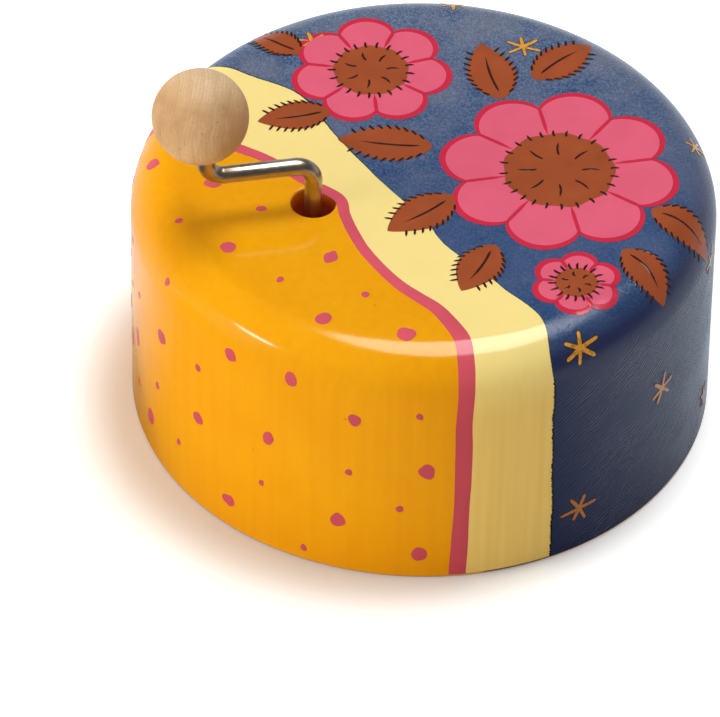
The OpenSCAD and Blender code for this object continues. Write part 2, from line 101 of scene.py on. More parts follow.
class CaseSizes(bpy.types.PropertyGroup):
    """Shape of the turned case"""

    edge: length("Edge rounding", 7.7 * MM, "Radius of the rounded top edge")
    foot_bevel: length("Foot bevel", 0.6 * MM, "Bevel along the bottom outer edge")
    hole: length("Crank hole", 7.0 * MM, "Diameter of the hole for the crank")
    hole_edge: length("Hole edge", 0.4 * MM, "Bevel round the mouth of the crank hole")
    wall: length("Wall", 12.0 * MM, "Wood between the hollow and the side")
    top: length("Top", 7.0 * MM, "Wood between the hollow and the top face")
    recess: length("Recess", 4.8 * MM, "Height of the recess for the base disc")
    rim: length("Rim", 5.0 * MM, "Wood outside the recess for the base disc")


class PaintSizes(bpy.types.PropertyGroup):
    """Sizes of the painted bands, dots and stars"""

    film: length("Film", 0.035 * MM, "Height of one coat of paint over the one below")
    stripe: length("Stripe", 1.8 * MM, "Width of the pink stripe on the top")
    stripe_side: length("Stripe on the side", 2.6 * MM, "Width of the pink stripe on the side")
    big_dot: length("Big dots", 2.5 * MM, "Diameter of the big dots")
    small_dot: length("Small dots", 1.2 * MM, "Diameter of the small dots")
    star: length("Stars", 3.1 * MM, "Length of one arm of a star")


class PaintColours(bpy.types.PropertyGroup):
    """Colours of the paints"""

    yellow: colour("Yellow", rgb(246, 174, 12), "Ground of the dotted side")
    cream: colour("Cream", rgb(255, 233, 150), "Band between yellow and blue")
    # Painted shade: a darker cream for the band down the side, which gets less light
    cream_side_shaded: colour("Shaded cream", rgb(240, 206, 116), "The same band down the side")
    navy: colour("Blue", rgb(42, 76, 128), "Ground of the starry side")
    rose: colour("Rose", rgb(226, 92, 110), "Stripe and dots")
    pink: colour("Pink", rgb(234, 102, 130), "Petals")
    red: colour("Red", rgb(212, 46, 74), "Edges of the petals")
    gold: colour("Gold", rgb(240, 172, 60), "Stars")
    russet: colour("Russet", rgb(170, 85, 48), "Leaves and the middles of the flowers")
    umber: colour("Umber", rgb(62, 34, 30), "Fine brush marks on the leaves")


class CrankSizes(bpy.types.PropertyGroup):
    """Shape of the wire crank and the ball"""

    wire: length("Wire", 2.8 * MM, "Diameter of the crank wire")
    bend: length("Bends", 3.0 * MM, "Centreline radius of both bends")
    pin_end: length("Pin", 14.25 * MM, "Height of the pin's end over the arm")
    ball: length("Ball", 15.0 * MM, "Diameter of the wooden ball")
    ball_gap: length("Ball gap", 4.9 * MM, "Height of the ball's underside over the arm")
    bore: length("Bore", 4.9 * MM, "Diameter of the hole in the ball")
    bore_depth: length("Bore depth", 10.4 * MM, "Depth of the hole in the ball")


class StudioSettings(bpy.types.PropertyGroup):
    """Camera and lamps"""

    lens: bpy.props.FloatProperty(
        name="Lens", default=385.4, min=10, unit="CAMERA", description="Focal length")
    key: amount("Key", 0.58, "Share of the light from the lamp overhead")
    shine: amount("Shine", 1.0, "Strength of the broad soft highlight")
    fill: amount("Fill", 0.50, "Share of the light from the left")
    strip: amount("Strip", 0.12, "Strength of the thin highlight")
    sky: amount("Sky", 0.44, "Share of the light from all round")
    warmth: colour("Warmth", (1.0, 0.91, 0.77), "Tint of the light from all round")
    coolness: colour("Coolness", (0.90, 0.93, 1.0), "Tint of the lamp overhead")


# Modelling helpers ----------------------------------------------------------------------

def clear_selection():
    """Object mode with nothing selected, so that the next operator meets only its own piece."""
    if bpy.context.object is not None and bpy.context.object.mode != "OBJECT":
        bpy.ops.object.mode_set(mode="OBJECT")
    bpy.ops.object.select_all(action="DESELECT")


def pick(obj):
    clear_selection()
    obj.select_set(True)
    bpy.context.view_layer.objects.active = obj


def named(obj, name):
    obj.name = name
    obj.data.name = name
    return obj


def trace(name, points):
    """A line of vertices through points in the XZ plane, left selected in edit mode."""
    clear_selection()
    bpy.ops.mesh.primitive_plane_add(size=MM)
    obj = named(bpy.context.object, name)
    bpy.ops.object.mode_set(mode="EDIT")
    bpy.ops.mesh.select_all(action="SELECT")
    bpy.ops.mesh.merge(type="CENTER")
    bpy.ops.transform.translate(value=(points[0][0], 0, points[0][1]))
    for here, there in zip(points, points[1:]):
        step = (there[0] - here[0], 0, there[1] - here[1])
        bpy.ops.mesh.extrude_region_move(TRANSFORM_OT_translate={"value": step})
    return obj


def close_up():
    """Welds the edited mesh, turns its faces outwards and leaves edit mode."""
    bpy.ops.mesh.select_all(action="SELECT")
    bpy.ops.mesh.remove_doubles(threshold=WELD)
    bpy.ops.mesh.normals_make_consistent(inside=False)
    bpy.ops.object.mode_set(mode="OBJECT")


def turn_on_lathe(name, profile, steps):
    """A solid of revolution about Z, from a profile that starts and ends on the axis."""
    obj = trace(name, profile)
    bpy.ops.mesh.select_all(action="SELECT")
    bpy.ops.mesh.spin(steps=steps, angle=math.tau, center=(0, 0, 0), axis=(0, 0, 1))
    close_up()
    return obj


def arc(centre, radius, start, end, steps):
    """Points of a circular arc in the XZ plane, angles in degrees from +X."""
    angles = [math.radians(start + (end - start) * i / steps) for i in range(steps + 1)]
    return [(centre[0] + radius * math.cos(a), centre[1] + radius * math.sin(a)) for a in angles]


def cut_away(obj, cutter):
    """Cuts one solid out of another and throws the cutter away."""
    pick(obj)
    cut = obj.modifiers.new("Cut", "BOOLEAN")
    cut.operation = "DIFFERENCE"
    cut.solver = "EXACT"
    cut.object = cutter
    bpy.ops.object.modifier_apply(modifier=cut.name)
    bpy.data.objects.remove(cutter, do_unlink=True)


def place(obj, seat):
    """Puts a piece that was modelled about the origin at its seat, in its mesh."""
    pick(obj)
    obj.matrix_world = seat
    bpy.ops.object.transform_apply(location=True, rotation=True, scale=True)


def finish_piece(obj, material, body, smooth_under=35):
    """Smooth faces, the material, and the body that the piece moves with."""
    pick(obj)
    bpy.ops.object.shade_smooth_by_angle(angle=math.radians(smooth_under))
    obj.data.materials.clear()
    obj.data.materials.append(material)
    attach(obj, body)
    return obj


# The surface that the paint lies on ------------------------------------------------------

def edge_radius():
    return bpy.context.scene.box_case.edge


def reach_of_side():
    """How far out from the top's middle the straight side starts, measured along the surface."""
    return CASE_R - edge_radius() + edge_radius() * math.pi / 2


def foot_reach():
    """Reach of the foot line, a little past where the side meets the foot's bevel."""
    bevel = bpy.context.scene.box_case.foot_bevel
    return reach_of_side() + CASE_H - edge_radius() - 0.6 * bevel


def ring_radius(reach):
    """Distance from the case's axis at a reach along the surface."""
    flat = CASE_R - edge_radius()
    if reach <= flat:
        return reach
    return flat + edge_radius() * math.sin(min((reach - flat) / edge_radius(), math.pi / 2))


def on_case(turn, reach, lift):
    """A point over the case's surface: turn about its axis in radians, and reach out over
    the top, round the edge and down the side."""
    edge = edge_radius()
    flat = CASE_R - edge
    lean = min(max((reach - flat) / edge, 0), math.pi / 2)
    radius = min(reach, flat) + (edge + lift) * math.sin(lean)
    height = CASE_H - edge + (edge + lift) * math.cos(lean) - max(reach - reach_of_side(), 0)
    return Vector((radius * math.cos(turn), radius * math.sin(turn), height))


def down_to_foot(turn, reach, lift):
    """A point over the case's surface that stops at the foot line."""
    return on_case(turn, min(reach, foot_reach()), lift)


def plan(turn, reach):
    return Vector((reach * math.cos(turn), reach * math.sin(turn)))


def along(points, share):
    """Smooth curve through 2D points, share going from 0 at the first to 1 at the last."""
    at = min(max(share, 0), 1) * (len(points) - 1)
    i = min(int(at), len(points) - 2)
    t = at - i
    b, c = points[i], points[i + 1]
    a = points[i - 1] if i > 0 else b * 2 - c
    d = points[i + 2] if i + 2 < len(points) else c * 2 - b
    return 0.5 * (2 * b + (c - a) * t + (2 * a - 5 * b + 4 * c - d) * t * t
                  + (3 * b - a - 3 * c + d) * t ** 3)


def even_steps(points, count):
    """Points at even distances along the smooth curve through points."""
    pieces = 2000
    fine = [along(points, i / pieces) for i in range(pieces + 1)]
    run = [0.0]
    for here, there in zip(fine, fine[1:]):
        run.append(run[-1] + (there - here).length)
    found, k = [], 0
    for i in range(count):
        goal = run[-1] * i / (count - 1)
        while k < len(run) - 2 and run[k + 1] < goal:
            k += 1
        found.append(fine[k].lerp(fine[k + 1], (goal - run[k]) / (run[k + 1] - run[k])))
    return found


def polar(points):
    """Turn and reach of each plan point, with the turn running on past half a turn."""
    return [(math.atan2(point.y, point.x) % math.tau, point.length) for point in points]


def grid(name, across, lengthwise):
    """Unit grid from 0 to 1 along X and from -1 to 1 along Y."""
    clear_selection()
    bpy.ops.mesh.primitive_grid_add(
        x_subdivisions=lengthwise, y_subdivisions=across, size=1, location=(0.5, 0, 0))
    obj = named(bpy.context.object, name)
    bpy.ops.object.transform_apply(location=True, rotation=False, scale=False)
    for vertex in obj.data.vertices:
        vertex.co.y *= 2
    return obj


def disc(name, spokes, rings):
    """Flat unit disc of rings of faces round its middle."""
    clear_selection()
    bpy.ops.mesh.primitive_circle_add(vertices=spokes, radius=1, fill_type="NOTHING")
    obj = named(bpy.context.object, name)
    bpy.ops.object.mode_set(mode="EDIT")
    bpy.ops.mesh.select_all(action="SELECT")
    for ring in range(rings, 1, -1):
        bpy.ops.mesh.extrude_edges_move()
        bpy.ops.transform.resize(value=((ring - 1) / ring,) * 3)
    bpy.ops.mesh.extrude_edges_move()
    bpy.ops.mesh.merge(type="CENTER")
    close_up()
    if obj.data.polygons[0].normal.z < 0:
        obj.data.flip_normals()
    return obj


def reshape(obj, shape):
    """Moves each vertex of a flat motif to where shape says."""
    for vertex in obj.data.vertices:
        vertex.co = shape(vertex.co)
    return obj


def dab(name, outline, dome=0.0, spokes=24, rings=3):
    """Round dab of paint: outline gives its radius in each direction, dome its crown."""
    def shape(at):
        share = math.hypot(at.x, at.y)
        turn = math.atan2(at.y, at.x)
        radius = outline(turn) * share
        return Vector((radius * math.cos(turn), radius * math.sin(turn), dome * (1 - share ** 2)))
    return reshape(disc(name, spokes, rings), shape)


def stroke(name, run, width, dome=0.0, bow=0.0, across=3, lengthwise=12):
    """Brush stroke from the origin along X: width gives its half width at each share."""
    def shape(at):
        half = width(at.x)
        return Vector((run * at.x, half * at.y + bow * math.sin(math.pi * at.x),
                       dome * (1 - at.y ** 2) * math.sin(math.pi * min(max(at.x, 0.02), 0.98))))
    return reshape(grid(name, across, lengthwise), shape)


def copy_of(obj):
    twin = obj.copy()
    twin.data = obj.data.copy()
    bpy.context.scene.collection.objects.link(twin)
    return twin


def lay_on_top(obj, x, y, angle, size, lift):
    """Bends a flat motif on to the top and over its edge, its middle at x, y in plan."""
    def bent(at):
        spot = Vector((x, y)) + size * Vector((
            at.x * math.cos(angle) - at.y * math.sin(angle),
            at.x * math.sin(angle) + at.y * math.cos(angle)))
        return on_case(math.atan2(spot.y, spot.x), spot.length, lift + at.z)
    return reshape(obj, bent)


def lay_on_side(obj, turn, reach, angle, size, lift):
    """Bends a flat motif on to the side or the edge, its X pointing down at angle 0."""
    def bent(at):
        down = reach + size * (at.x * math.cos(angle) - at.y * math.sin(angle))
        round_by = size * (at.x * math.sin(angle) + at.y * math.cos(angle))
        return on_case(turn + round_by / ring_radius(down), down, lift + at.z)
    return reshape(obj, bent)


def lay(obj, turn, reach, angle, size, lift):
    """Lays a motif at a turn in degrees and a reach, on the top or on the side."""
    turn = math.radians(turn)
    if reach < reach_of_side() - 4 * MM:
        spot = plan(turn, reach)
        return lay_on_top(obj, spot.x, spot.y, turn + angle, size, lift)
    return lay_on_side(obj, turn, reach, angle, size, lift)


# How deep the underside of a film lies in the case
SUNK = 0.02 * MM


def paint_film(name, motifs, lift, material):
    """Joins motifs that lie on the case, gives them the thickness of a coat and finishes them."""
    pick(motifs[0])
    for motif in motifs:
        motif.select_set(True)
    if len(motifs) > 1:
        bpy.ops.object.join()
    obj = named(bpy.context.object, name)
    bpy.ops.object.mode_set(mode="EDIT")
    bpy.ops.mesh.select_all(action="SELECT")
    bpy.ops.mesh.remove_doubles(threshold=2 * WELD)
    bpy.ops.object.mode_set(mode="OBJECT")
    coat = obj.modifiers.new("Coat", "SOLIDIFY")
    coat.thickness = lift + SUNK
    coat.offset = -1
    bpy.ops.object.modifier_apply(modifier=coat.name)
    return finish_piece(obj, material, "case", smooth_under=50)


def unevenly(seed, amount, spread):
    """A smooth hand's waver: a function of a place along the mark."""
    def waver(at):
        return amount * noise.noise(Vector((at * spread, seed * 7.31, 0.5)))
    return waver


# Materials ------------------------------------------------------------------------------

COAT_IOR = 1.4
ORANGE_PEEL = 0.014 * MM

# Level direction away from the camera
AWAY = (0.42, 0.91, 0.0)


def node(tree, kind, inputs=None, **settings):
    """A node of a kind, its settings, and its inputs set to a value or linked to a socket."""
    made = tree.nodes.new(kind)
    for setting, value in settings.items():
        setattr(made, setting, value)
    for socket, value in (inputs or {}).items():
        if isinstance(value, bpy.types.NodeSocket):
            tree.links.new(value, made.inputs[socket])
        else:
            made.inputs[socket].default_value = value
    return made


def empty_tree(owner):
    """The node tree of a new material or world, with nothing in it."""
    owner.use_nodes = True
    owner.node_tree.nodes.clear()
    return owner.node_tree


def new_material(name, **shader_inputs):
    """A material with only a shader: itself, its tree, its shader and the place on the piece."""
    material = bpy.data.materials.new(name)
    tree = empty_tree(material)
    shader = node(tree, "ShaderNodeBsdfPrincipled")
    for socket, value in shader_inputs.items():
        shader.inputs[socket.replace("_", " ")].default_value = value
    node(tree, "ShaderNodeOutputMaterial", {"Surface": shader.outputs[0]})
    place_on = node(tree, "ShaderNodeTexCoord").outputs["Object"]
    return material, tree, shader, place_on


def feed(tree, shader, **sockets):
    """Links sockets to the shader's inputs of the same names."""
    for name, socket in sockets.items():
        tree.links.new(socket, shader.inputs[name.replace("_", " ")])


def maths(tree, operation, first, second=0.0):
    return node(tree, "ShaderNodeMath", {0: first, 1: second}, operation=operation).outputs[0]


def times(tree, product, *factors):
    for factor in factors:
        product = maths(tree, "MULTIPLY", product, factor)
    return product


def below(tree, value, limit):
    return maths(tree, "LESS_THAN", value, limit)


def part_of(tree, vector, axis):
    """The X, Y or Z of a vector."""
    return node(tree, "ShaderNodeSeparateXYZ", {"Vector": vector}).outputs[axis]


def towards(tree, vector, direction):
    """How far a vector goes in a direction."""
    return node(tree, "ShaderNodeVectorMath", {0: vector, 1: direction},
                operation="DOT_PRODUCT").outputs["Value"]


def grain(tree, vector, fineness, detail, roughness=0.5, distortion=0.0):
    """Noise of a fineness per metre, which is one number or one for each axis."""
    if isinstance(fineness, int):
        fineness = (fineness,) * 3
    stretched = node(tree, "ShaderNodeMapping", {"Vector": vector, "Scale": fineness}).outputs[0]
    return node(tree, "ShaderNodeTexNoise", {
        "Vector": stretched, "Scale": 1.0, "Detail": detail, "Roughness": roughness,
        "Distortion": distortion}).outputs["Fac"]


def between(tree, value, low, high, from_low=0.3, from_high=0.7, curve="LINEAR"):
    """Spreads the values from from_low to from_high over the range from low to high. Left
    out, they are the middle of what noise gives."""
    return node(tree, "ShaderNodeMapRange", {
        "Value": value, "From Min": from_low, "From Max": from_high,
        "To Min": low, "To Max": high}, interpolation_type=curve).outputs[0]


def blend(tree, share, first, second):
    """Mixes two colours, each a socket or a linear colour."""
    def whole(value):
        return value if isinstance(value, bpy.types.NodeSocket) else (*value, 1.0)
    mixed = node(tree, "ShaderNodeMix", {"Factor": share, 6: whole(first), 7: whole(second)},
                 data_type="RGBA", blend_type="MIX", clamp_factor=True)
    return mixed.outputs[2]


def tinted(tree, tone, texture, tint, most=1.0, start=0.3, full=0.7):
    """A tone that takes on a tint, at most a share of it, as a texture goes from start to full."""
    return blend(tree, between(tree, texture, 0.0, most, start, full), tone, tint)


def darker(tint, share):
    return tuple(part * share for part in tint)


def bumped(tree, shader, height, distance, coat=True):
    """Gives the shader a relief, and its clear coat too unless there is none."""
    bump = node(tree, "ShaderNodeBump", {
        "Height": height, "Distance": distance, "Strength": 1.0}).outputs[0]
    feed(tree, shader, Normal=bump)
    if coat:
        feed(tree, shader, Coat_Normal=bump)


def paint(name, tint, mottle=0.86, side=None):
    """Brush-laid paint under a clear gloss coat. A side tint darkens it down the side, in the
    brush's streaks: painted shade for the side's lower light."""
    material, tree, shader, place_on = new_material(
        name, Roughness=0.6, Specular_IOR_Level=0.0, Coat_Weight=1.0, Coat_Roughness=0.12,
        Coat_IOR=COAT_IOR)
    tone = tinted(tree, darker(tint, mottle), grain(tree, place_on, 160, 4), tint)
    # Painted shade: the tone darkens towards the side tint down the side, along the streaks
    if side:
        streaks = between(tree, grain(tree, place_on, (800, 800, 22), 3), 0.62, 1.0)
        height = part_of(tree, place_on, "Z")
        low = between(tree, height, 1.0, 0.0, CASE_H - 11 * MM, CASE_H - 2 * MM)
        tone = blend(tree, times(tree, streaks, low), tone, side)
    feed(tree, shader, Base_Color=tone)
    bumped(tree, shader, grain(tree, place_on, 900, 2), ORANGE_PEEL)
    return material


def rose_paint(name):
    rose = bpy.context.scene.box_colours.rose
    # The rose darkens to 0.74 of itself down the side: painted shade
    return paint(name, rose, side=darker(rose, 0.74))


def gold_paint():
    """Bronze-gold paint, thin and brushed, with a soft metal glint, coppery down the side."""
    material, tree, shader, place_on = new_material(
        "gold_paint", Metallic=0.3, Roughness=0.38, Coat_Weight=0.8, Coat_Roughness=0.12)
    height = part_of(tree, place_on, "Z")
    low = between(tree, height, 0.8, 0.0, CASE_H - 16 * MM, CASE_H - 4 * MM)
    tone = blend(tree, low, bpy.context.scene.box_colours.gold, rgb(196, 122, 62))
    flecks = grain(tree, place_on, 2200, 3)
    wear_and_sheen = between(tree, flecks, 0.6, 0.0, 0.34, 0.52)
    feed(tree, shader, Base_Color=blend(tree, wear_and_sheen, tone, rgb(132, 72, 24)))
    bumped(tree, shader, flecks, 0.03 * MM)
    return material


def yellow_ground(tree, place_on, yellow):
    """Even yellow with warmer drifts, faint brush lines and a few dark specks in the coat."""
    drifts = grain(tree, place_on, (55, 55, 80), 4)
    brush_lines = grain(tree, place_on, (700, 700, 30), 3)
    specks = grain(tree, place_on, 800, 1)
    tone = tinted(tree, rgb(243, 165, 6), drifts, yellow)
    tone = tinted(tree, tone, brush_lines, rgb(234, 146, 4), 0.25)
    return tinted(tree, tone, specks, rgb(168, 88, 6), 0.5, 0.79, 0.83)


def blue_ground(tree, place_on, z, navy, specks):
    """Blue that is clouded, with painted sheen on the top: grey haze and light specks, more of
    them towards the back, away from the camera. It is darker and more violet down the side,
    partly its own tone and partly painted shade."""
    cloud = grain(tree, place_on, 90, 5, roughness=0.6)
    # Darker, more violet blue below the top edge: partly the paint's tone, partly painted shade
    high = between(tree, z, 0.0, 1.0, CASE_H - 3 * MM, CASE_H - 0.6 * MM)
    tone = blend(tree, high, rgb(42, 50, 90), navy)
    tone = blend(tree, between(tree, cloud, 0.3, 0.0), tone, darker(navy, 0.35))
    # Painted sheen: grey haze and light specks on the top, growing away from the camera
    backward = towards(tree, place_on, AWAY)
    wear_and_sheen = times(tree, high, between(tree, backward, 0.25, 1.0, -12 * MM, 38 * MM))
    haze = times(tree, wear_and_sheen, between(tree, cloud, 0.0, 0.7, 0.35, 0.62))
    tone = blend(tree, haze, tone, rgb(128, 124, 134))
    light = times(tree, wear_and_sheen, between(tree, specks, 0.0, 1.0, 0.44, 0.66))
    return blend(tree, light, tone, rgb(118, 142, 168))


def slanting_ridges(tree, place_on, x, y, z):
    """Short ridges that slant up round the side: their height, and how far they stand out, which
    is less on the rounded edge and beside the cream band."""
    turn = maths(tree, "ARCTAN2", y, x)
    slant = maths(tree, "SUBTRACT", z, times(tree, turn, 0.7 * CASE_R))
    wound = node(tree, "ShaderNodeCombineXYZ", {
        0: times(tree, turn, 260 * CASE_R), 1: times(tree, slant, 430)}).outputs[0]
    ridges = node(tree, "ShaderNodeTexWave", {
        "Vector": wound, "Scale": 1.0, "Distortion": 6.0, "Detail": 3.0,
        "Detail Scale": 1.1}, wave_type="BANDS", bands_direction="Y").outputs["Fac"]
    standing_out = times(
        tree, between(tree, z, 1.0, 0.0, CASE_H - 11 * MM, CASE_H - 4 * MM),
        between(tree, grain(tree, place_on, 110, 3), 0.25, 1.0, 0.38, 0.6),
        between(tree, turn, 0.25, 1.0, -1.5, -1.25))
    return ridges, standing_out


def case_paint():
    """Yellow and blue grounds in one coat, bare wood inside, and a stained crank hole."""
    colours = bpy.context.scene.box_colours
    sizes = bpy.context.scene.box_case
    material, tree, shader, place_on = new_material(
        "lacquered_wood", Specular_IOR_Level=0.0, Coat_Roughness=0.12, Coat_IOR=COAT_IOR)
    x, y, z = (part_of(tree, place_on, axis) for axis in "XYZ")
    from_axis = maths(tree, "SQRT", maths(tree, "ADD", times(tree, x, x), times(tree, y, y)))
    specks = grain(tree, place_on, 2900, 4, roughness=0.65)
    warm = yellow_ground(tree, place_on, colours.yellow)
    cold = blue_ground(tree, place_on, z, colours.navy, specks)

    # The two grounds meet under the cream band, along a line that leans left towards the back
    lean = times(tree, maths(tree, "MAXIMUM", y, 0.0), -0.42)
    meet_at = maths(tree, "SUBTRACT", lean, 9 * MM)
    is_blue = maths(tree, "GREATER_THAN", x, meet_at)

    # Only the blue has ridges, with painted shade in their hollows and painted highlight
    # on their crests
    ridges, standing_out = slanting_ridges(tree, place_on, x, y, z)
    standing_out = times(tree, standing_out, is_blue)
    shaded_hollows = times(tree, between(tree, ridges, 0.85, 0.0, 0.05, 0.5), standing_out)
    lit_crests = times(tree, between(tree, ridges, 0.0, 0.7, 0.6, 1.0), standing_out)
    cold = blend(tree, shaded_hollows, cold, rgb(14, 18, 40))
    cold = blend(tree, lit_crests, cold, rgb(104, 116, 162))
    painted = blend(tree, is_blue, warm, cold)

    # Down the crank hole the paint goes from orange to a darker red-brown, and the lowest
    # 0.4 mm at the foot is pinkish brown
    down = between(tree, z, 0.0, 1.0, CASE_H - 3.2 * MM, CASE_H - 0.5 * MM)
    bore_tone = blend(tree, down, rgb(214, 78, 22), rgb(246, 140, 20))
    in_bore = times(tree, below(tree, from_axis, 0.7 * CASE_R), below(tree, z, CASE_H - 0.3 * MM))
    painted = blend(tree, in_bore, painted, bore_tone)
    painted = blend(tree, below(tree, z, 0.4 * MM), painted, rgb(206, 156, 132))

    # Bare wood inside and underneath
    growth = grain(tree, place_on, (260, 260, 30), 4)
    bare = tinted(tree, rgb(196, 160, 116), growth, rgb(226, 196, 152))
    inside = times(tree, below(tree, from_axis, CASE_R - sizes.rim + 0.1 * MM),
                   below(tree, z, CASE_H - sizes.top + 0.05 * MM))
    inside = maths(tree, "MAXIMUM", inside, below(tree, z, 0.05 * MM))
    outside = maths(tree, "SUBTRACT", 1.0, inside)
    feed(tree, shader, Base_Color=blend(tree, inside, painted, bare), Coat_Weight=outside,
         Roughness=between(tree, outside, 0.7, 0.42, 0.0, 1.0))

    # Relief: the ridges and specks of the blue, and a coat brushed more heavily towards the
    # stripe
    brushed = between(tree, x, 0.1, 1.0, -34 * MM, -16 * MM)
    height = maths(tree, "ADD", times(tree, ridges, standing_out, 0.07 * MM),
                   times(tree, grain(tree, place_on, 1300, 2), brushed, 0.03 * MM))
    height = maths(tree, "ADD", height, times(tree, specks, is_blue, 0.04 * MM))
    bumped(tree, shader, height, 1.0)
    return material


def ball_wood():
    """Pale turned hardwood with its fibres up the ball: fine upright lines of growth rings on
    the flanks, arcs and open pores on the top, and a paler top that is painted light from above."""
    material, tree, shader, place_on = new_material(
        "pale_turned_wood", Roughness=0.55, Specular_IOR_Level=0.2)
    heart = PIN_AT + Vector((-19 * MM, 9 * MM, 0))
    centred = node(tree, "ShaderNodeMapping", {"Vector": place_on, "Location": -heart}).outputs[0]

    def rings(scale, waver):
        return node(tree, "ShaderNodeTexWave", {
            "Vector": centred, "Scale": scale, "Distortion": waver, "Detail": 2.0,
            "Detail Scale": 0.6}, wave_type="RINGS", rings_direction="Z",
            wave_profile="SAW").outputs["Fac"]

    cloud = grain(tree, place_on, (150, 150, 90), 4)
    lit_top = towards(tree, centred, (0.1, 0.2, 0.97))
    fibres = grain(tree, centred, (2600, 2600, 260), 3)
    pores = grain(tree, centred, (3600, 3600, 900), 1)
    tone = tinted(tree, rgb(197, 155, 110), cloud, rgb(226, 189, 145), 1.0, 0.35, 0.62)
    # Painted light: the top of the ball paler, as if lit from above
    tone = tinted(tree, tone, lit_top, rgb(246, 220, 182), 0.6, 16 * MM, 20 * MM)
    tone = tinted(tree, tone, rings(150, 3.0), rgb(186, 144, 102), 0.22, 0.4, 1.0)
    tone = tinted(tree, tone, rings(560, 5.0), rgb(176, 132, 90), 0.2, 0.5, 1.0)
    tone = tinted(tree, tone, fibres, rgb(190, 148, 106), 0.34, 0.45, 0.75)
    tone = tinted(tree, tone, pores, rgb(132, 92, 60), 0.6, 0.69, 0.78)
    feed(tree, shader, Base_Color=tone)
    bumped(tree, shader, fibres, 0.03 * MM, coat=False)
    return material


def metal(name, tint, roughness, scratched, fineness, depth=0.01 * MM):
    """Plated or cut metal: fine marks in colour, roughness and relief."""
    material, tree, shader, place_on = new_material(name, Metallic=1.0)
    marks = grain(tree, place_on, fineness, 4, roughness=0.6)
    feed(tree, shader, Base_Color=tinted(tree, darker(tint, scratched), marks, tint),
         Roughness=between(tree, marks, roughness * 1.3, roughness * 0.8))
    bumped(tree, shader, marks, depth, coat=False)
    return material


def nickel_wire():
    """Bright nickel plating, with a few small pits."""
    material, tree, shader, place_on = new_material("nickel_plating", Metallic=1.0)
    haze = grain(tree, place_on, 350, 3)
    pits = between(tree, grain(tree, place_on, 2600, 1), 0.0, 1.0, 0.70, 0.80)
    tone = tinted(tree, rgb(172, 160, 142), haze, rgb(200, 188, 170))
    feed(tree, shader, Base_Color=blend(tree, pits, tone, rgb(120, 108, 96)),
         Roughness=between(tree, haze, 0.26, 0.35))
    height = maths(tree, "SUBTRACT", times(tree, haze, 0.006 * MM), times(tree, pits, 0.01 * MM))
    bumped(tree, shader, height, 1.0, coat=False)
    return material


def plywood():
    """Pale veneer with long fibres across the disc."""
    material, tree, shader, place_on = new_material("plywood", Roughness=0.68)
    fibres = grain(tree, place_on, (45, 1500, 1500), 4)
    figure = grain(tree, place_on, (18, 95, 95), 3, distortion=0.8)
    tone = tinted(tree, rgb(196, 158, 112), figure, rgb(226, 194, 150))
    feed(tree, shader, Base_Color=tinted(tree, tone, fibres, rgb(160, 118, 76), 0.5))
    bumped(tree, shader, fibres, 0.04 * MM, coat=False)
    return material


def nylon():
    """Natural nylon, satin and slightly cloudy."""
    material, tree, shader, place_on = new_material(
        "natural_nylon", Roughness=0.45, Subsurface_Weight=0.1, Subsurface_Scale=0.5 * MM)
    cloud = grain(tree, place_on, 400, 3)
    feed(tree, shader, Base_Color=tinted(tree, rgb(226, 220, 202), cloud, rgb(240, 236, 222)))
    bumped(tree, shader, cloud, 0.01 * MM, coat=False)
    return material


# The painted bands ----------------------------------------------------------------------

def path(*pairs):
    """Plan points in metres from pairs of turn in degrees and reach in millimetres."""
    return [plan(math.radians(turn), reach * MM) for turn, reach in pairs]


# The pink stripe runs from the back foot, over the top past the crank hole, and down the front
STRIPE_PATH = (
    (138, 86), (138, 60), (139, 46), (143.5, 36), (147.1, 28.8), (151, 24.5), (163.4, 19),
    (-178, 14.9), (-163, 16.2), (-152.4, 18), (-140, 20.9), (-129.1, 24.2), (-121.8, 27),
    (-115.1, 29.7), (-109.7, 32.9), (-105.7, 38.4), (-105.3, 43), (-105.9, 53.4),
    (-105.9, 66), (-106.2, 78.7), (-106.5, 86))

# The blue edge of the cream band, from the back foot to the front foot
BLUE_EDGE_PATH = (
    (118, 86), (118, 50), (118.2, 42), (116.6, 35), (113.7, 26.6), (127.6, 15.1),
    (-163.4, 7), (-117.6, 10.4), (-101.8, 18.9), (-90.1, 28.9), (-86.3, 38.2),
    (-88, 45.5), (-88.3, 56.9), (-87.6, 74.1), (-87.6, 86))


class BOX_OT_cream_band(bpy.types.Operator):
    """Lays the cream band between the yellow and the blue ground, and a dark line along its
    toothed blue edge"""

    bl_idname = "musicbox.cream_band"
    bl_label = "Cream Band"

    def execute(self, context):
        colours = context.scene.box_colours
        steps = 1320
        left = polar(even_steps(path(*STRIPE_PATH), steps + 1))
        right = polar(even_steps(path(*BLUE_EDGE_PATH), steps + 1))
        film = context.scene.box_paint.film
        tooth = unevenly(3, 0.28 * MM, 2.3)
        drift = unevenly(5, 0.35 * MM, 0.03)
        half_line = 0.32 * MM

        def blue_edge(i, past=0.0):
            turn, reach = right[i]
            on_top = reach < reach_of_side() - 2 * MM
            out = (0.25 if on_top else 1.0) * (tooth(i) + past) + drift(i)
            return turn + out / ring_radius(reach), reach

        def ruled(at):
            i = round(at.x * steps)
            spot = Vector(left[i]).lerp(Vector(blue_edge(i)), (at.y + 1) / 2)
            return down_to_foot(spot.x, spot.y, film)

        def lined(at):
            turn, reach = blue_edge(round(at.x * steps), at.y * half_line)
            return down_to_foot(turn, reach, 0.5 * film)

        line = reshape(grid("dark_line", 2, steps), lined)
        paint_film("dark_line", [line], 0.5 * film, paint("dark_line_paint", rgb(24, 24, 34)))
        band = reshape(grid("cream_band", 10, steps), ruled)
        paint_film("cream_band", [band], film,
                   paint("cream_paint", colours.cream, 0.97, colours.cream_side_shaded))
        return {"FINISHED"}


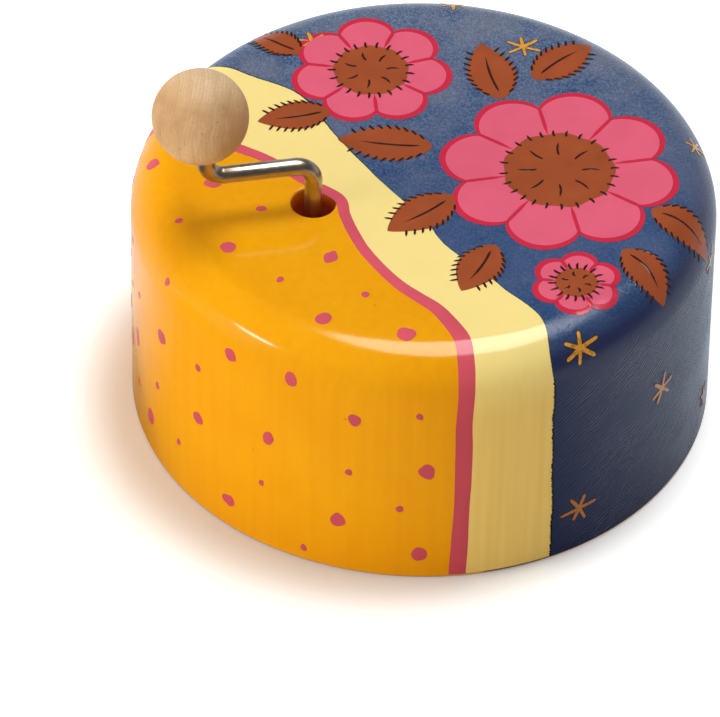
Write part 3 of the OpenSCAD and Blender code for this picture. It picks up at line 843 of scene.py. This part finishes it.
class BOX_OT_rose_stripe(bpy.types.Operator):
    """Lays the pink stripe along the yellow edge of the cream band"""

    bl_idname = "musicbox.rose_stripe"
    bl_label = "Rose Stripe"

    def execute(self, context):
        sizes = context.scene.box_paint
        steps = 420
        line = polar(even_steps(path(*STRIPE_PATH), steps + 1))
        lift = 2 * sizes.film
        waver = [unevenly(seed, 0.16 * MM, 0.06) for seed in (11, 17)]
        widens_at, widens_over = 26 * MM, 12 * MM

        def ribbon(at):
            i = round(at.x * steps)
            turn, reach = line[i]
            before, after = line[max(i - 1, 0)], line[min(i + 1, steps)]
            out = after[1] - before[1]
            around = (after[0] - before[0]) * ring_radius(reach)
            size = math.hypot(out, around)
            share = min(max((reach - widens_at) / widens_over, 0), 1)
            width = sizes.stripe + (sizes.stripe_side - sizes.stripe) * share
            offset = at.y * (width / 2 + waver[at.y > 0](i))
            turn += offset * out / size / ring_radius(reach)
            reach -= offset * around / size
            return down_to_foot(turn, reach, lift * (1 - 0.35 * at.y ** 2))

        stripe = reshape(grid("rose_stripe", 4, steps), ribbon)
        paint_film("rose_stripe", [stripe], lift, rose_paint("rose_paint_stripe"))
        return {"FINISHED"}


# Dots and stars --------------------------------------------------------------------------

# Turn in degrees and reach in millimetres
BIG_DOTS = (
    (153, 43), (162, 33), (-172.5, 35.5), (-149, 25), (-138, 38), (-118, 38), (-176, 59),
    (-154, 50), (-140, 49.5), (-127, 54.5), (-113, 64), (-163, 68), (178.5, 79.5),
    (-145, 63.5), (-154.5, 81), (-130, 76), (-114, 81.5))
SMALL_DOTS = (
    (174, 40), (176.5, 27), (-154.5, 34), (-131, 30.5), (-175, 47), (-163, 57.5),
    (-114.5, 52.5), (-178, 70.5), (-169.5, 77), (-128, 65.5), (-146.5, 73.5), (-118, 72),
    (-137, 84), (165, 51.5))


def dots_round_the_back():
    """The same loose pattern carried on round the side to the back of the cream band, less any
    dot that would land on one of the front's."""
    too_near = 4
    big, small = [], []
    for column, turn in enumerate((171.5, 164.5, 157, 150, 144)):
        for row in range(3):
            reach = 57 + 10.7 * row - 5.3 * (column % 2)
            spot = (turn + 2 * math.sin(5 * row + column),
                    reach + 1.5 * math.cos(3 * column + row))
            if all(math.dist(spot, other) > too_near for other in BIG_DOTS + SMALL_DOTS):
                (big if (row + column) % 2 else small).append(spot)
    return big, small


class BOX_OT_rose_dots(bpy.types.Operator):
    """Dabs the pink dots on the yellow ground"""

    bl_idname = "musicbox.rose_dots"
    bl_label = "Rose Dots"

    def execute(self, context):
        sizes = context.scene.box_paint
        chance = random.Random(41)
        more_big, more_small = dots_round_the_back()
        spots = [(spot, sizes.big_dot / 2) for spot in BIG_DOTS + tuple(more_big)]
        spots += [(spot, sizes.small_dot / 2) for spot in SMALL_DOTS + tuple(more_small)]
        pattern = dab("dot", lambda turn: 1.0)
        dots = []
        for number, ((turn, reach), radius) in enumerate(spots):
            long_way = chance.uniform(1.03, 1.16)
            size = radius * chance.uniform(0.95, 1.12)
            waver = unevenly(number, 0.24, 1.1)

            def dabbed(at):
                angle = math.atan2(at.y, at.x)
                far = math.hypot(at.x, at.y)
                swell = 1 + waver(math.cos(angle)) + waver(3 + math.sin(angle))
                crown = 1.2 * sizes.film * (1 - far ** 2)
                return Vector((at.x * swell * long_way, at.y * swell / long_way, crown))

            dot = reshape(copy_of(pattern), dabbed)
            dots.append(lay(dot, turn, reach * MM, chance.uniform(-0.5, 0.5), size, sizes.film))
        bpy.data.objects.remove(pattern, do_unlink=True)
        paint_film("rose_dots", dots, sizes.film, rose_paint("rose_paint_dots"))
        return {"FINISHED"}


# Turn in degrees, reach in millimetres, size, how broad the brush was, and lean in degrees
STARS = (
    (38.9, 34.3, 1.0, 0.95, 39), (-81.3, 45.3, 1.15, 1.15, 49), (-59.6, 63.4, 1.05, 1.0, 42),
    (-81.4, 78, 1.05, 1.1, 31), (-36.7, 80, 0.85, 0.9, 12), (-37.3, 51.4, 0.85, 0.8, 30),
    (60, 42.5, 0.85, 1, 4), (-14, 66, 0.95, 1, 25), (-12, 44, 0.8, 0.8, 50),
    (8, 80, 0.9, 1, 17), (13, 56, 1.0, 1.2, 33), (35, 68, 0.9, 0.8, 8), (36, 52, 0.8, 1, 47),
    (58, 80, 1.0, 1.1, 28), (62, 60, 0.9, 0.8, 55), (82, 70, 0.85, 1, 14),
    (88, 49, 0.95, 1.2, 38), (102, 62, 0.9, 0.8, 2), (104, 79, 1.0, 1.1, 22),
    (96, 36, 0.8, 1, 50))


def star_arm(share):
    """Half width of a star's arm, which narrows a little and ends round."""
    round_end = 0.12
    past = max(0.0, (share - 1 + round_end) / round_end)
    return 0.1 * (1 - 0.2 * share) * math.sqrt(max(0.02, 1 - past ** 2))


class BOX_OT_gold_stars(bpy.types.Operator):
    """Paints the loose gold stars on the blue ground, six brush strokes each, over a first
    darker stroke that shows round their edges: partly a brown edge, partly painted shadow
    of the raised arms"""

    bl_idname = "musicbox.gold_stars"
    bl_label = "Gold Stars"

    def execute(self, context):
        sizes = context.scene.box_paint
        chance = random.Random(7)
        arm = stroke("arm", 1.0, star_arm, dome=0.9 * sizes.film)
        past_middle = 0.04
        under, over = [], []
        for turn, reach, size, breadth, lean in STARS:
            for number in range(6):
                angle = math.radians(lean + 60 * number) + chance.uniform(-0.16, 0.16)
                run = sizes.star * size * chance.uniform(0.75, 1.12)
                width = breadth * sizes.star / run * chance.uniform(0.85, 1.15)

                def brushed(pile, longer, wider, lift):
                    one = reshape(copy_of(arm), lambda at: Vector((
                        at.x - past_middle, at.y * width * wider, at.z)))
                    pile.append(lay(one, turn, reach * MM, angle, run * longer, lift))

                # Wider dark under-stroke: brown edge and painted shadow round each arm
                brushed(under, 1.04, 1.35, sizes.film * (0.4 + 0.04 * number))
                brushed(over, 1.0, 1.0, sizes.film * (1 + 0.12 * number))
        bpy.data.objects.remove(arm, do_unlink=True)
        paint_film("star_edges_and_shadows", under, 0.4 * sizes.film, paint("star_edge_and_shadow_paint", rgb(74, 44, 26)))
        paint_film("gold_stars", over, sizes.film, gold_paint())
        return {"FINISHED"}


# Flowers and leaves ----------------------------------------------------------------------

# Middle in plan in millimetres, radius in millimetres, petals, turn in degrees
FLOWERS = ((19.5, -8, 19, 8, 10), (2, 25.5, 13, 7, 20), (11, -33, 7.2, 6, 0))
# Middle in plan, direction in degrees, length and width
LEAVES = (
    (-3, 8.5, 150, 15, 8), (19.5, 18, 80, 14, 7.5), (31, 16, 20, 13, 7), (33, -27, -50, 13, 7),
    (22.5, -34.5, -75, 12, 6.5), (-4.5, -9, -165, 13.5, 7.5), (-1.5, -24, -140, 12, 7),
    (-13.5, 20, 170, 12, 6.5), (-9, 38, 120, 10, 5.5))


def petals(radius, count, inset):
    """Outline of a flower with rounded petals, drawn in by inset."""
    notch = 0.20

    def outline(turn):
        petal = abs(math.cos(count * turn / 2)) ** 0.7
        return radius * (1 - notch + notch * petal) - inset
    return outline


def brush_mark(name, run, half, bow=0.0, backwards=False):
    """Short brush mark of a length and half width, blunt at the start and pointed at the end."""
    def width(share):
        share = 1 - share if backwards else share
        blunt = min(1.0, 8 * (share + 0.03))
        pointed = min(1.0, 3 * (1.02 - share))
        return half * blunt * pointed
    return stroke(name, run, width, bpy.context.scene.box_paint.film, bow)


class BOX_OT_flowers(bpy.types.Operator):
    """Paints the pink flowers: red edges, pink petals and russet middles with fine marks"""

    bl_idname = "musicbox.flowers"
    bl_label = "Flowers"

    def execute(self, context):
        colours = context.scene.box_colours
        film = context.scene.box_paint.film
        layers = {"edges": [], "petals": [], "folds": [], "middles": [], "marks": []}
        for x, y, radius, count, turned in FLOWERS:
            angle = math.radians(turned)

            def put(motif, layer, coats, spin=0.0, out=0.0):
                reshape(motif, lambda at: at + Vector((out, 0, 0)))
                lay_on_top(motif, x * MM, y * MM, angle + spin, 1.0, coats * film)
                layers[layer].append(motif)

            # Each layer lies a coat or so over the one below
            spokes = 24 * count
            radius *= MM
            middle = 0.46 * radius
            put(dab("edge", petals(radius, count, 0.0), 0.0, spokes, 14), "edges", 1.6)
            put(dab("petal", petals(radius, count, MM), film, spokes, 14), "petals", 2.6)
            for number in range(count):
                spin = math.tau * (number + 0.5) / count
                fold = brush_mark("fold", 0.34 * radius, 0.30 * MM, backwards=True)
                put(fold, "folds", 3.8, spin, 0.45 * radius)
            put(dab("middle", lambda turn: middle * (1 + 0.025 * math.sin(9 * turn)), 2 * film,
                    48, 8), "middles", 4)
            for number in range(3 * count):
                spin = math.tau * number / (3 * count) + 0.05 * math.sin(7 * number)
                fur = brush_mark("fur", 1.5 * MM, 0.2 * MM, bow=0.1 * MM)
                put(fur, "marks", 5, spin, 0.92 * middle)
            for number in range(count):
                spin = math.tau * (number + 0.25) / count
                seed = brush_mark("seed", 0.16 * radius, 0.19 * MM, bow=0.2 * MM)
                put(seed, "marks", 6.2, spin, 0.40 * middle)

        looks = {
            "edges": ("flower_edges", 1, "red_paint", colours.red, 0.9),
            "petals": ("flower_petals", 2, "pink_paint", colours.pink, 0.92),
            "folds": ("petal_folds", 3, "red_paint_folds", colours.red, 0.9),
            "middles": ("flower_middles", 3.4, "russet_paint", colours.russet, 0.8),
            "marks": ("flower_marks", 4, "umber_paint", colours.umber, 0.8)}
        for layer, (name, coats, paint_name, tint, mottle) in looks.items():
            paint_film(name, layers[layer], coats * film, paint(paint_name, tint, mottle))
        return {"FINISHED"}


class BOX_OT_leaves(bpy.types.Operator):
    """Paints the russet leaves and their fine dark marks"""

    bl_idname = "musicbox.leaves"
    bl_label = "Leaves"

    def execute(self, context):
        colours = context.scene.box_colours
        film = context.scene.box_paint.film
        blades, marks = [], []
        for x, y, direction, run, width in LEAVES:
            angle = math.radians(direction)
            run, half = run * MM, width * MM / 2

            def outline(share):
                return half * math.sin(math.pi * min(share, 1)) ** 0.75 * (1.25 - 0.5 * share)

            def put(motif, pile, coats, along_by=0.0, off=0.0, spin=0.0):
                def moved(at):
                    c, s = math.cos(spin), math.sin(spin)
                    return Vector((at.x * c - at.y * s + along_by - run / 2,
                                   at.x * s + at.y * c + off, at.z))
                reshape(motif, moved)
                lay_on_top(motif, x * MM, y * MM, angle, 1.0, coats * film)
                pile.append(motif)

            put(stroke("blade", run, outline, film, across=8, lengthwise=40), blades, 1.5)
            rib = brush_mark("rib", 0.62 * run, 0.2 * MM, bow=0.3 * MM)
            put(rib, marks, 3.2, 0.14 * run)
            for number in range(9):
                share = 0.1 + 0.09 * number
                for side in (-1, 1):
                    fur = brush_mark("fur", 1.4 * MM, 0.19 * MM)
                    put(fur, marks, 2.6, share * run, side * 0.86 * outline(share), side * 0.85)
        paint_film("leaf_blades", blades, 1.5 * film,
                   paint("russet_paint_leaves", colours.russet, mottle=0.8))
        paint_film("leaf_marks", marks, 2.4 * film,
                   paint("umber_paint_leaves", colours.umber, mottle=0.8))
        return {"FINISHED"}


# Case, crank and ball ---------------------------------------------------------------------

class BOX_OT_case(bpy.types.Operator):
    """Turns the case on the lathe, bores the crank hole and gives it its grounds of paint"""

    bl_idname = "musicbox.case"
    bl_label = "Turned Case"

    def execute(self, context):
        sizes = context.scene.box_case
        edge = sizes.edge
        hollow = CASE_R - sizes.wall
        recess = CASE_R - sizes.rim
        ceiling = CASE_H - sizes.top
        profile = [(0, CASE_H), (0.5 * CASE_R, CASE_H)]
        profile += arc((CASE_R - edge, CASE_H - edge), edge, 90, 0, 24)
        profile += [(CASE_R, 0.5 * CASE_H), (CASE_R, sizes.foot_bevel),
                    (CASE_R - 0.3 * sizes.foot_bevel, 0.3 * sizes.foot_bevel),
                    (CASE_R - sizes.foot_bevel, 0), (recess, 0), (recess, sizes.recess),
                    (hollow, sizes.recess), (hollow, ceiling), (0, ceiling)]
        case = turn_on_lathe("case_shell", profile, 288)
        bore = sizes.hole / 2
        soft = sizes.hole_edge
        drill = [(0, ceiling - MM), (bore, ceiling - MM)]
        drill += arc((bore + soft, CASE_H - soft), soft, 180, 90, 6)
        drill += [(bore + soft, CASE_H + MM), (0, CASE_H + MM)]
        cutter = turn_on_lathe("crank_drill", drill, 72)
        place(cutter, Matrix.Translation((CRANK_AT.x, CRANK_AT.y, 0)))
        cut_away(case, cutter)
        finish_piece(case, case_paint(), "case")
        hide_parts("case")
        return {"FINISHED"}


def extrude(step):
    bpy.ops.mesh.extrude_region_move(TRANSFORM_OT_translate={"value": step})


def widen(factor):
    bpy.ops.transform.resize(value=(factor, factor, 1))


def neck(depth, width, radius):
    """A groove round a rod that is being drawn upwards."""
    kept = 1 - depth / radius
    extrude((0, 0, 0))
    widen(kept)
    extrude((0, 0, width))
    extrude((0, 0, 0))
    widen(1 / kept)


class BOX_OT_crank(bpy.types.Operator):
    """Bends the crank from round wire: shaft, bend, arm, bend and the knob's leaning pin"""

    bl_idname = "musicbox.crank"
    bl_label = "Wire Crank"

    def execute(self, context):
        sizes = context.scene.box_crank
        radius, bend = sizes.wire / 2, sizes.bend
        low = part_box("crank")[0].z
        clip_low, clip_high = (corner.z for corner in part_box("retaining_clip"))
        end_share = 0.85
        bevel = (1 - end_share) * radius
        groove = 0.4 * MM
        reach = Vector((PIN_AT.x - CRANK_AT.x, PIN_AT.y - CRANK_AT.y, 0))
        throw = reach.length
        lean = math.acos(PIN_AXIS.z)
        tangent = bend * math.tan((math.pi / 2 - lean) / 2)
        arm = PIN_AT.z
        clear_selection()
        bpy.ops.mesh.primitive_circle_add(
            vertices=48, radius=end_share * radius, fill_type="NGON", location=(0, 0, low))
        crank = named(bpy.context.object, "crank_wire")
        bpy.ops.object.transform_apply(location=True, rotation=False, scale=False)
        bpy.ops.object.mode_set(mode="EDIT")
        bpy.ops.mesh.select_all(action="SELECT")
        extrude((0, 0, bevel))
        widen(1 / end_share)
        extrude((0, 0, clip_low - low - bevel))
        neck(groove, clip_high - clip_low, radius)
        extrude((0, 0, arm - bend - clip_high))
        bpy.ops.mesh.spin(steps=20, angle=math.pi / 2,
                          center=(bend, 0, arm - bend), axis=(0, -1, 0))
        extrude((throw - tangent - bend, 0, 0))
        bpy.ops.mesh.spin(steps=20, angle=math.pi / 2 - lean,
                          center=(throw - tangent, 0, arm + bend), axis=(0, 1, 0))
        rest = sizes.pin_end - tangent
        extrude((rest * math.sin(lean), 0, rest * math.cos(lean)))
        close_up()
        place(crank, Matrix.Translation((CRANK_AT.x, CRANK_AT.y, 0))
              @ Matrix.Rotation(math.atan2(reach.y, reach.x), 4, "Z"))
        finish_piece(crank, nickel_wire(), "crank")
        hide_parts("crank")
        return {"FINISHED"}


class BOX_OT_ball(bpy.types.Operator):
    """Turns the wooden ball with its blind hole and seats it on the pin"""

    bl_idname = "musicbox.ball"
    bl_label = "Wooden Ball"

    def execute(self, context):
        sizes = context.scene.box_crank
        radius, bore = sizes.ball / 2, sizes.bore / 2
        middle = sizes.ball_gap + radius
        soft = 0.25 * MM
        mouth = math.degrees(math.acos((bore + soft) / radius))
        profile = arc((0, middle), radius, 90, -mouth, 60)
        foot = profile[-1][1]
        profile += [(bore + 0.2 * soft, foot + 0.32 * soft), (bore, foot + 1.6 * soft),
                    (bore, sizes.ball_gap + sizes.bore_depth),
                    (0, sizes.ball_gap + sizes.bore_depth)]
        profile[0] = (0, middle + radius)
        ball = turn_on_lathe("wooden_ball", profile, 128)
        place(ball, Matrix.Translation(PIN_AT) @ Vector((0, 0, 1)).rotation_difference(
            PIN_AXIS).to_matrix().to_4x4())
        finish_piece(ball, ball_wood(), "knob")
        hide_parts("knob")
        return {"FINISHED"}


class BOX_OT_movement(bpy.types.Operator):
    """Gives the base disc, the screws and the movement their finishes"""

    bl_idname = "musicbox.movement"
    bl_label = "Movement and Base"

    def execute(self, context):
        zinc = metal("cast_zinc", rgb(176, 178, 180), 0.48, 0.82, 260, 0.05 * MM)
        steel = metal("bright_steel", rgb(200, 200, 202), 0.26, 0.85, 900)
        spring = metal("ground_steel", rgb(176, 178, 184), 0.24, 0.8, (120, 2200, 2200))
        brass = metal("turned_brass", rgb(214, 172, 92), 0.22, 0.86, (250, 1400, 1400))
        lead = metal("dull_lead", rgb(112, 114, 120), 0.6, 0.75, 700, 0.04 * MM)
        plastic = nylon()
        finishes = {
            "base_disc": plywood(), "bedplate": zinc, "comb": spring, "bass_weights": lead,
            "worm": brass, "tune_cylinder": brass, "thrust_washer": plastic,
            "knob_sleeve": plastic, "worm_wheel": plastic, "cylinder_cap": plastic}
        for name in ("base_screws", "bedplate_screws", "crank_bridge", "bridge_screws",
                     "cylinder_arbor", "comb_screws", "retaining_clip"):
            finishes[name] = steel
        for name, finish in finishes.items():
            part = frame["nodes"][name]
            part.data.materials.clear()
            part.data.materials.append(finish)
        return {"FINISHED"}


# Studio ---------------------------------------------------------------------------------

VIEW_FROM = Vector((-0.38024, -0.82671, 0.83461))
VIEW_TO = Vector((-0.02660, -0.03593, 0.044))
VIEW_ROLL = math.radians(0.885)


def lamp(name, direction, distance, size, share, height=None, tint=(1, 1, 1)):
    """Soft lamp: a share of 1 lights a white face that is turned to it fully white."""
    target = Vector((0, 0, 0.03))
    data = bpy.data.lights.new(name, "AREA")
    data.shape = "ELLIPSE"
    data.size = size
    data.size_y = height or size
    data.energy = share * (math.pi * distance) ** 2
    data.color = tint
    obj = bpy.data.objects.new(name, data)
    heading = Vector(direction).normalized()
    obj.matrix_world = (Matrix.Translation(target + heading * distance)
                        @ heading.to_track_quat("Z", "Y").to_matrix().to_4x4())
    bpy.context.scene.collection.objects.link(obj)
    return obj


def studio_world(settings):
    """White for the camera, warm light from all round and most from the left, and a dim room
    for what is seen in gloss, brightest low down behind the object."""
    world = bpy.data.worlds.new("pale_studio")
    tree = empty_tree(world)

    def background(tint, strength=1.0):
        return node(tree, "ShaderNodeBackground", {"Color": tint, "Strength": strength}).outputs[0]

    def choice(share, first, second):
        return node(tree, "ShaderNodeMixShader", {0: share, 1: first, 2: second}).outputs[0]

    rays = node(tree, "ShaderNodeLightPath").outputs
    mirrored = maths(tree, "MAXIMUM", rays["Is Glossy Ray"], rays["Is Transmission Ray"])
    look = node(tree, "ShaderNodeTexCoord").outputs["Generated"]
    low = between(tree, part_of(tree, look, "Z"), 0.6, 0.1, 0.0, 0.5, curve="SMOOTHSTEP")
    behind = between(tree, towards(tree, look, AWAY), 0.05, 1.0, -0.4, 0.35)
    bright = maths(tree, "MAXIMUM", times(tree, low, behind), 0.09)
    room = blend(tree, bright, (0.0, 0.0, 0.0), (1.0, 0.97, 0.92))
    sided = maths(tree, "SUBTRACT", 1.0, times(tree, part_of(tree, look, "X"), 0.9))
    light = background((*settings.warmth, 1), times(tree, sided, settings.sky))
    unseen = choice(mirrored, light, background(room))
    shown = choice(rays["Is Camera Ray"], unseen, background((1, 1, 1, 1)))
    node(tree, "ShaderNodeOutputWorld", {"Surface": shown})
    return world


def floor_material(settings):
    """Matt white that keeps the object's shadow and throws a warm light back up. It shows in
    gloss mostly behind and to the right, and glows to white a little beyond the object's foot."""
    material = bpy.data.materials.new("white_floor")
    tree = empty_tree(material)
    rays = node(tree, "ShaderNodeLightPath").outputs
    place_on = node(tree, "ShaderNodeTexCoord").outputs["Object"]
    whiteness = 0.93
    tone = blend(tree, rays["Is Camera Ray"], darker(settings.warmth, whiteness),
                 (whiteness, whiteness, whiteness))
    rightward = between(tree, part_of(tree, place_on, "X"), 0.12, 1.2, 5 * MM, 60 * MM)
    backward = between(tree, towards(tree, place_on, AWAY), 0.12, 0.9, -15 * MM, 15 * MM)
    mirrored = blend(tree, maths(tree, "MAXIMUM", rightward, backward), (0, 0, 0),
                     (0.80, 0.90, 1))
    tone = blend(tree, rays["Is Glossy Ray"], tone, mirrored)
    matt = node(tree, "ShaderNodeBsdfDiffuse", {"Color": tone}).outputs[0]
    from_foot = node(tree, "ShaderNodeVectorMath", {0: place_on, 1: (-5 * MM, MM, 0.0)},
                     operation="DISTANCE").outputs["Value"]
    strength = between(tree, from_foot, 0.0, 0.47, CASE_R - 4 * MM, CASE_R + 9 * MM,
                       curve="SMOOTHSTEP")
    glow = node(tree, "ShaderNodeEmission", {
        "Color": (1, 1, 1, 1), "Strength": times(tree, rays["Is Camera Ray"], strength)})
    both = node(tree, "ShaderNodeAddShader", {0: matt, 1: glow.outputs[0]}).outputs[0]
    node(tree, "ShaderNodeOutputMaterial", {"Surface": both})
    return material


class BOX_OT_studio(bpy.types.Operator):
    """Sets up the white floor, the soft lamps, the world and the camera"""

    bl_idname = "musicbox.studio"
    bl_label = "Studio"

    def execute(self, context):
        settings = context.scene.box_studio
        clear_selection()
        bpy.ops.mesh.primitive_plane_add(size=12)
        floor = named(context.object, "studio_floor")
        floor.data.materials.append(floor_material(settings))
        key = lamp("key_lamp", (0.305, 0.146, 0.942), 1.15, 0.56, settings.key,
                   tint=settings.coolness)
        fill = lamp("left_lamp", (-0.97, 0.10, 0.22), 1.6, 0.9, settings.fill)
        key.visible_glossy = fill.visible_glossy = False
        shine = lamp("broad_highlight", (0.175, 0.08, 0.981), 1.15, 0.80, settings.shine)
        strip = lamp("thin_highlight", (-0.88, -0.02, 0.46), 1.1, 0.30, settings.strip,
                     height=0.06)
        shine.visible_diffuse = strip.visible_diffuse = False
        context.scene.world = studio_world(settings)
        context.scene.view_settings.view_transform = "Standard"

        camera = bpy.data.cameras.new("camera")
        camera.lens = settings.lens
        camera.sensor_width = 36
        camera.sensor_fit = "HORIZONTAL"
        camera.clip_start = 0.05
        camera.clip_end = 50
        holder = bpy.data.objects.new("camera", camera)
        back = (VIEW_FROM - VIEW_TO).normalized()
        holder.matrix_world = (Matrix.Translation(VIEW_FROM)
                               @ back.to_track_quat("Z", "Y").to_matrix().to_4x4()
                               @ Matrix.Rotation(VIEW_ROLL, 4, "Z"))
        context.scene.collection.objects.link(holder)
        context.scene.camera = holder
        return {"FINISHED"}


# Panel and registration -------------------------------------------------------------------

PIECES = (BOX_OT_case, BOX_OT_cream_band, BOX_OT_rose_stripe, BOX_OT_rose_dots,
          BOX_OT_gold_stars, BOX_OT_flowers, BOX_OT_leaves, BOX_OT_crank, BOX_OT_ball,
          BOX_OT_movement, BOX_OT_studio)
SETTINGS = {"box_case": CaseSizes, "box_paint": PaintSizes, "box_colours": PaintColours,
            "box_crank": CrankSizes, "box_studio": StudioSettings}


class BOX_PT_panel(bpy.types.Panel):
    """Lists the pieces of the music box and their sizes"""

    bl_idname = "BOX_PT_panel"
    bl_label = "Music Box"
    bl_space_type = "VIEW_3D"
    bl_region_type = "UI"
    bl_category = "Music Box"

    def draw(self, context):
        for piece in PIECES:
            self.layout.operator(piece.bl_idname)
        for name, group in SETTINGS.items():
            box = self.layout.box()
            for setting in group.__annotations__:
                box.prop(getattr(context.scene, name), setting)


CLASSES = (*SETTINGS.values(), *PIECES, BOX_PT_panel)


def register():
    for made in CLASSES:
        bpy.utils.register_class(made)
    for name, group in SETTINGS.items():
        setattr(bpy.types.Scene, name, bpy.props.PointerProperty(type=group))


def unregister():
    for name in SETTINGS:
        delattr(bpy.types.Scene, name)
    for made in reversed(CLASSES):
        bpy.utils.unregister_class(made)


def main():
    register()
    for piece in PIECES:
        group, name = piece.bl_idname.split(".")
        getattr(getattr(bpy.ops, group), name)()
    clear_selection()


if __name__ == "__main__":
    main()
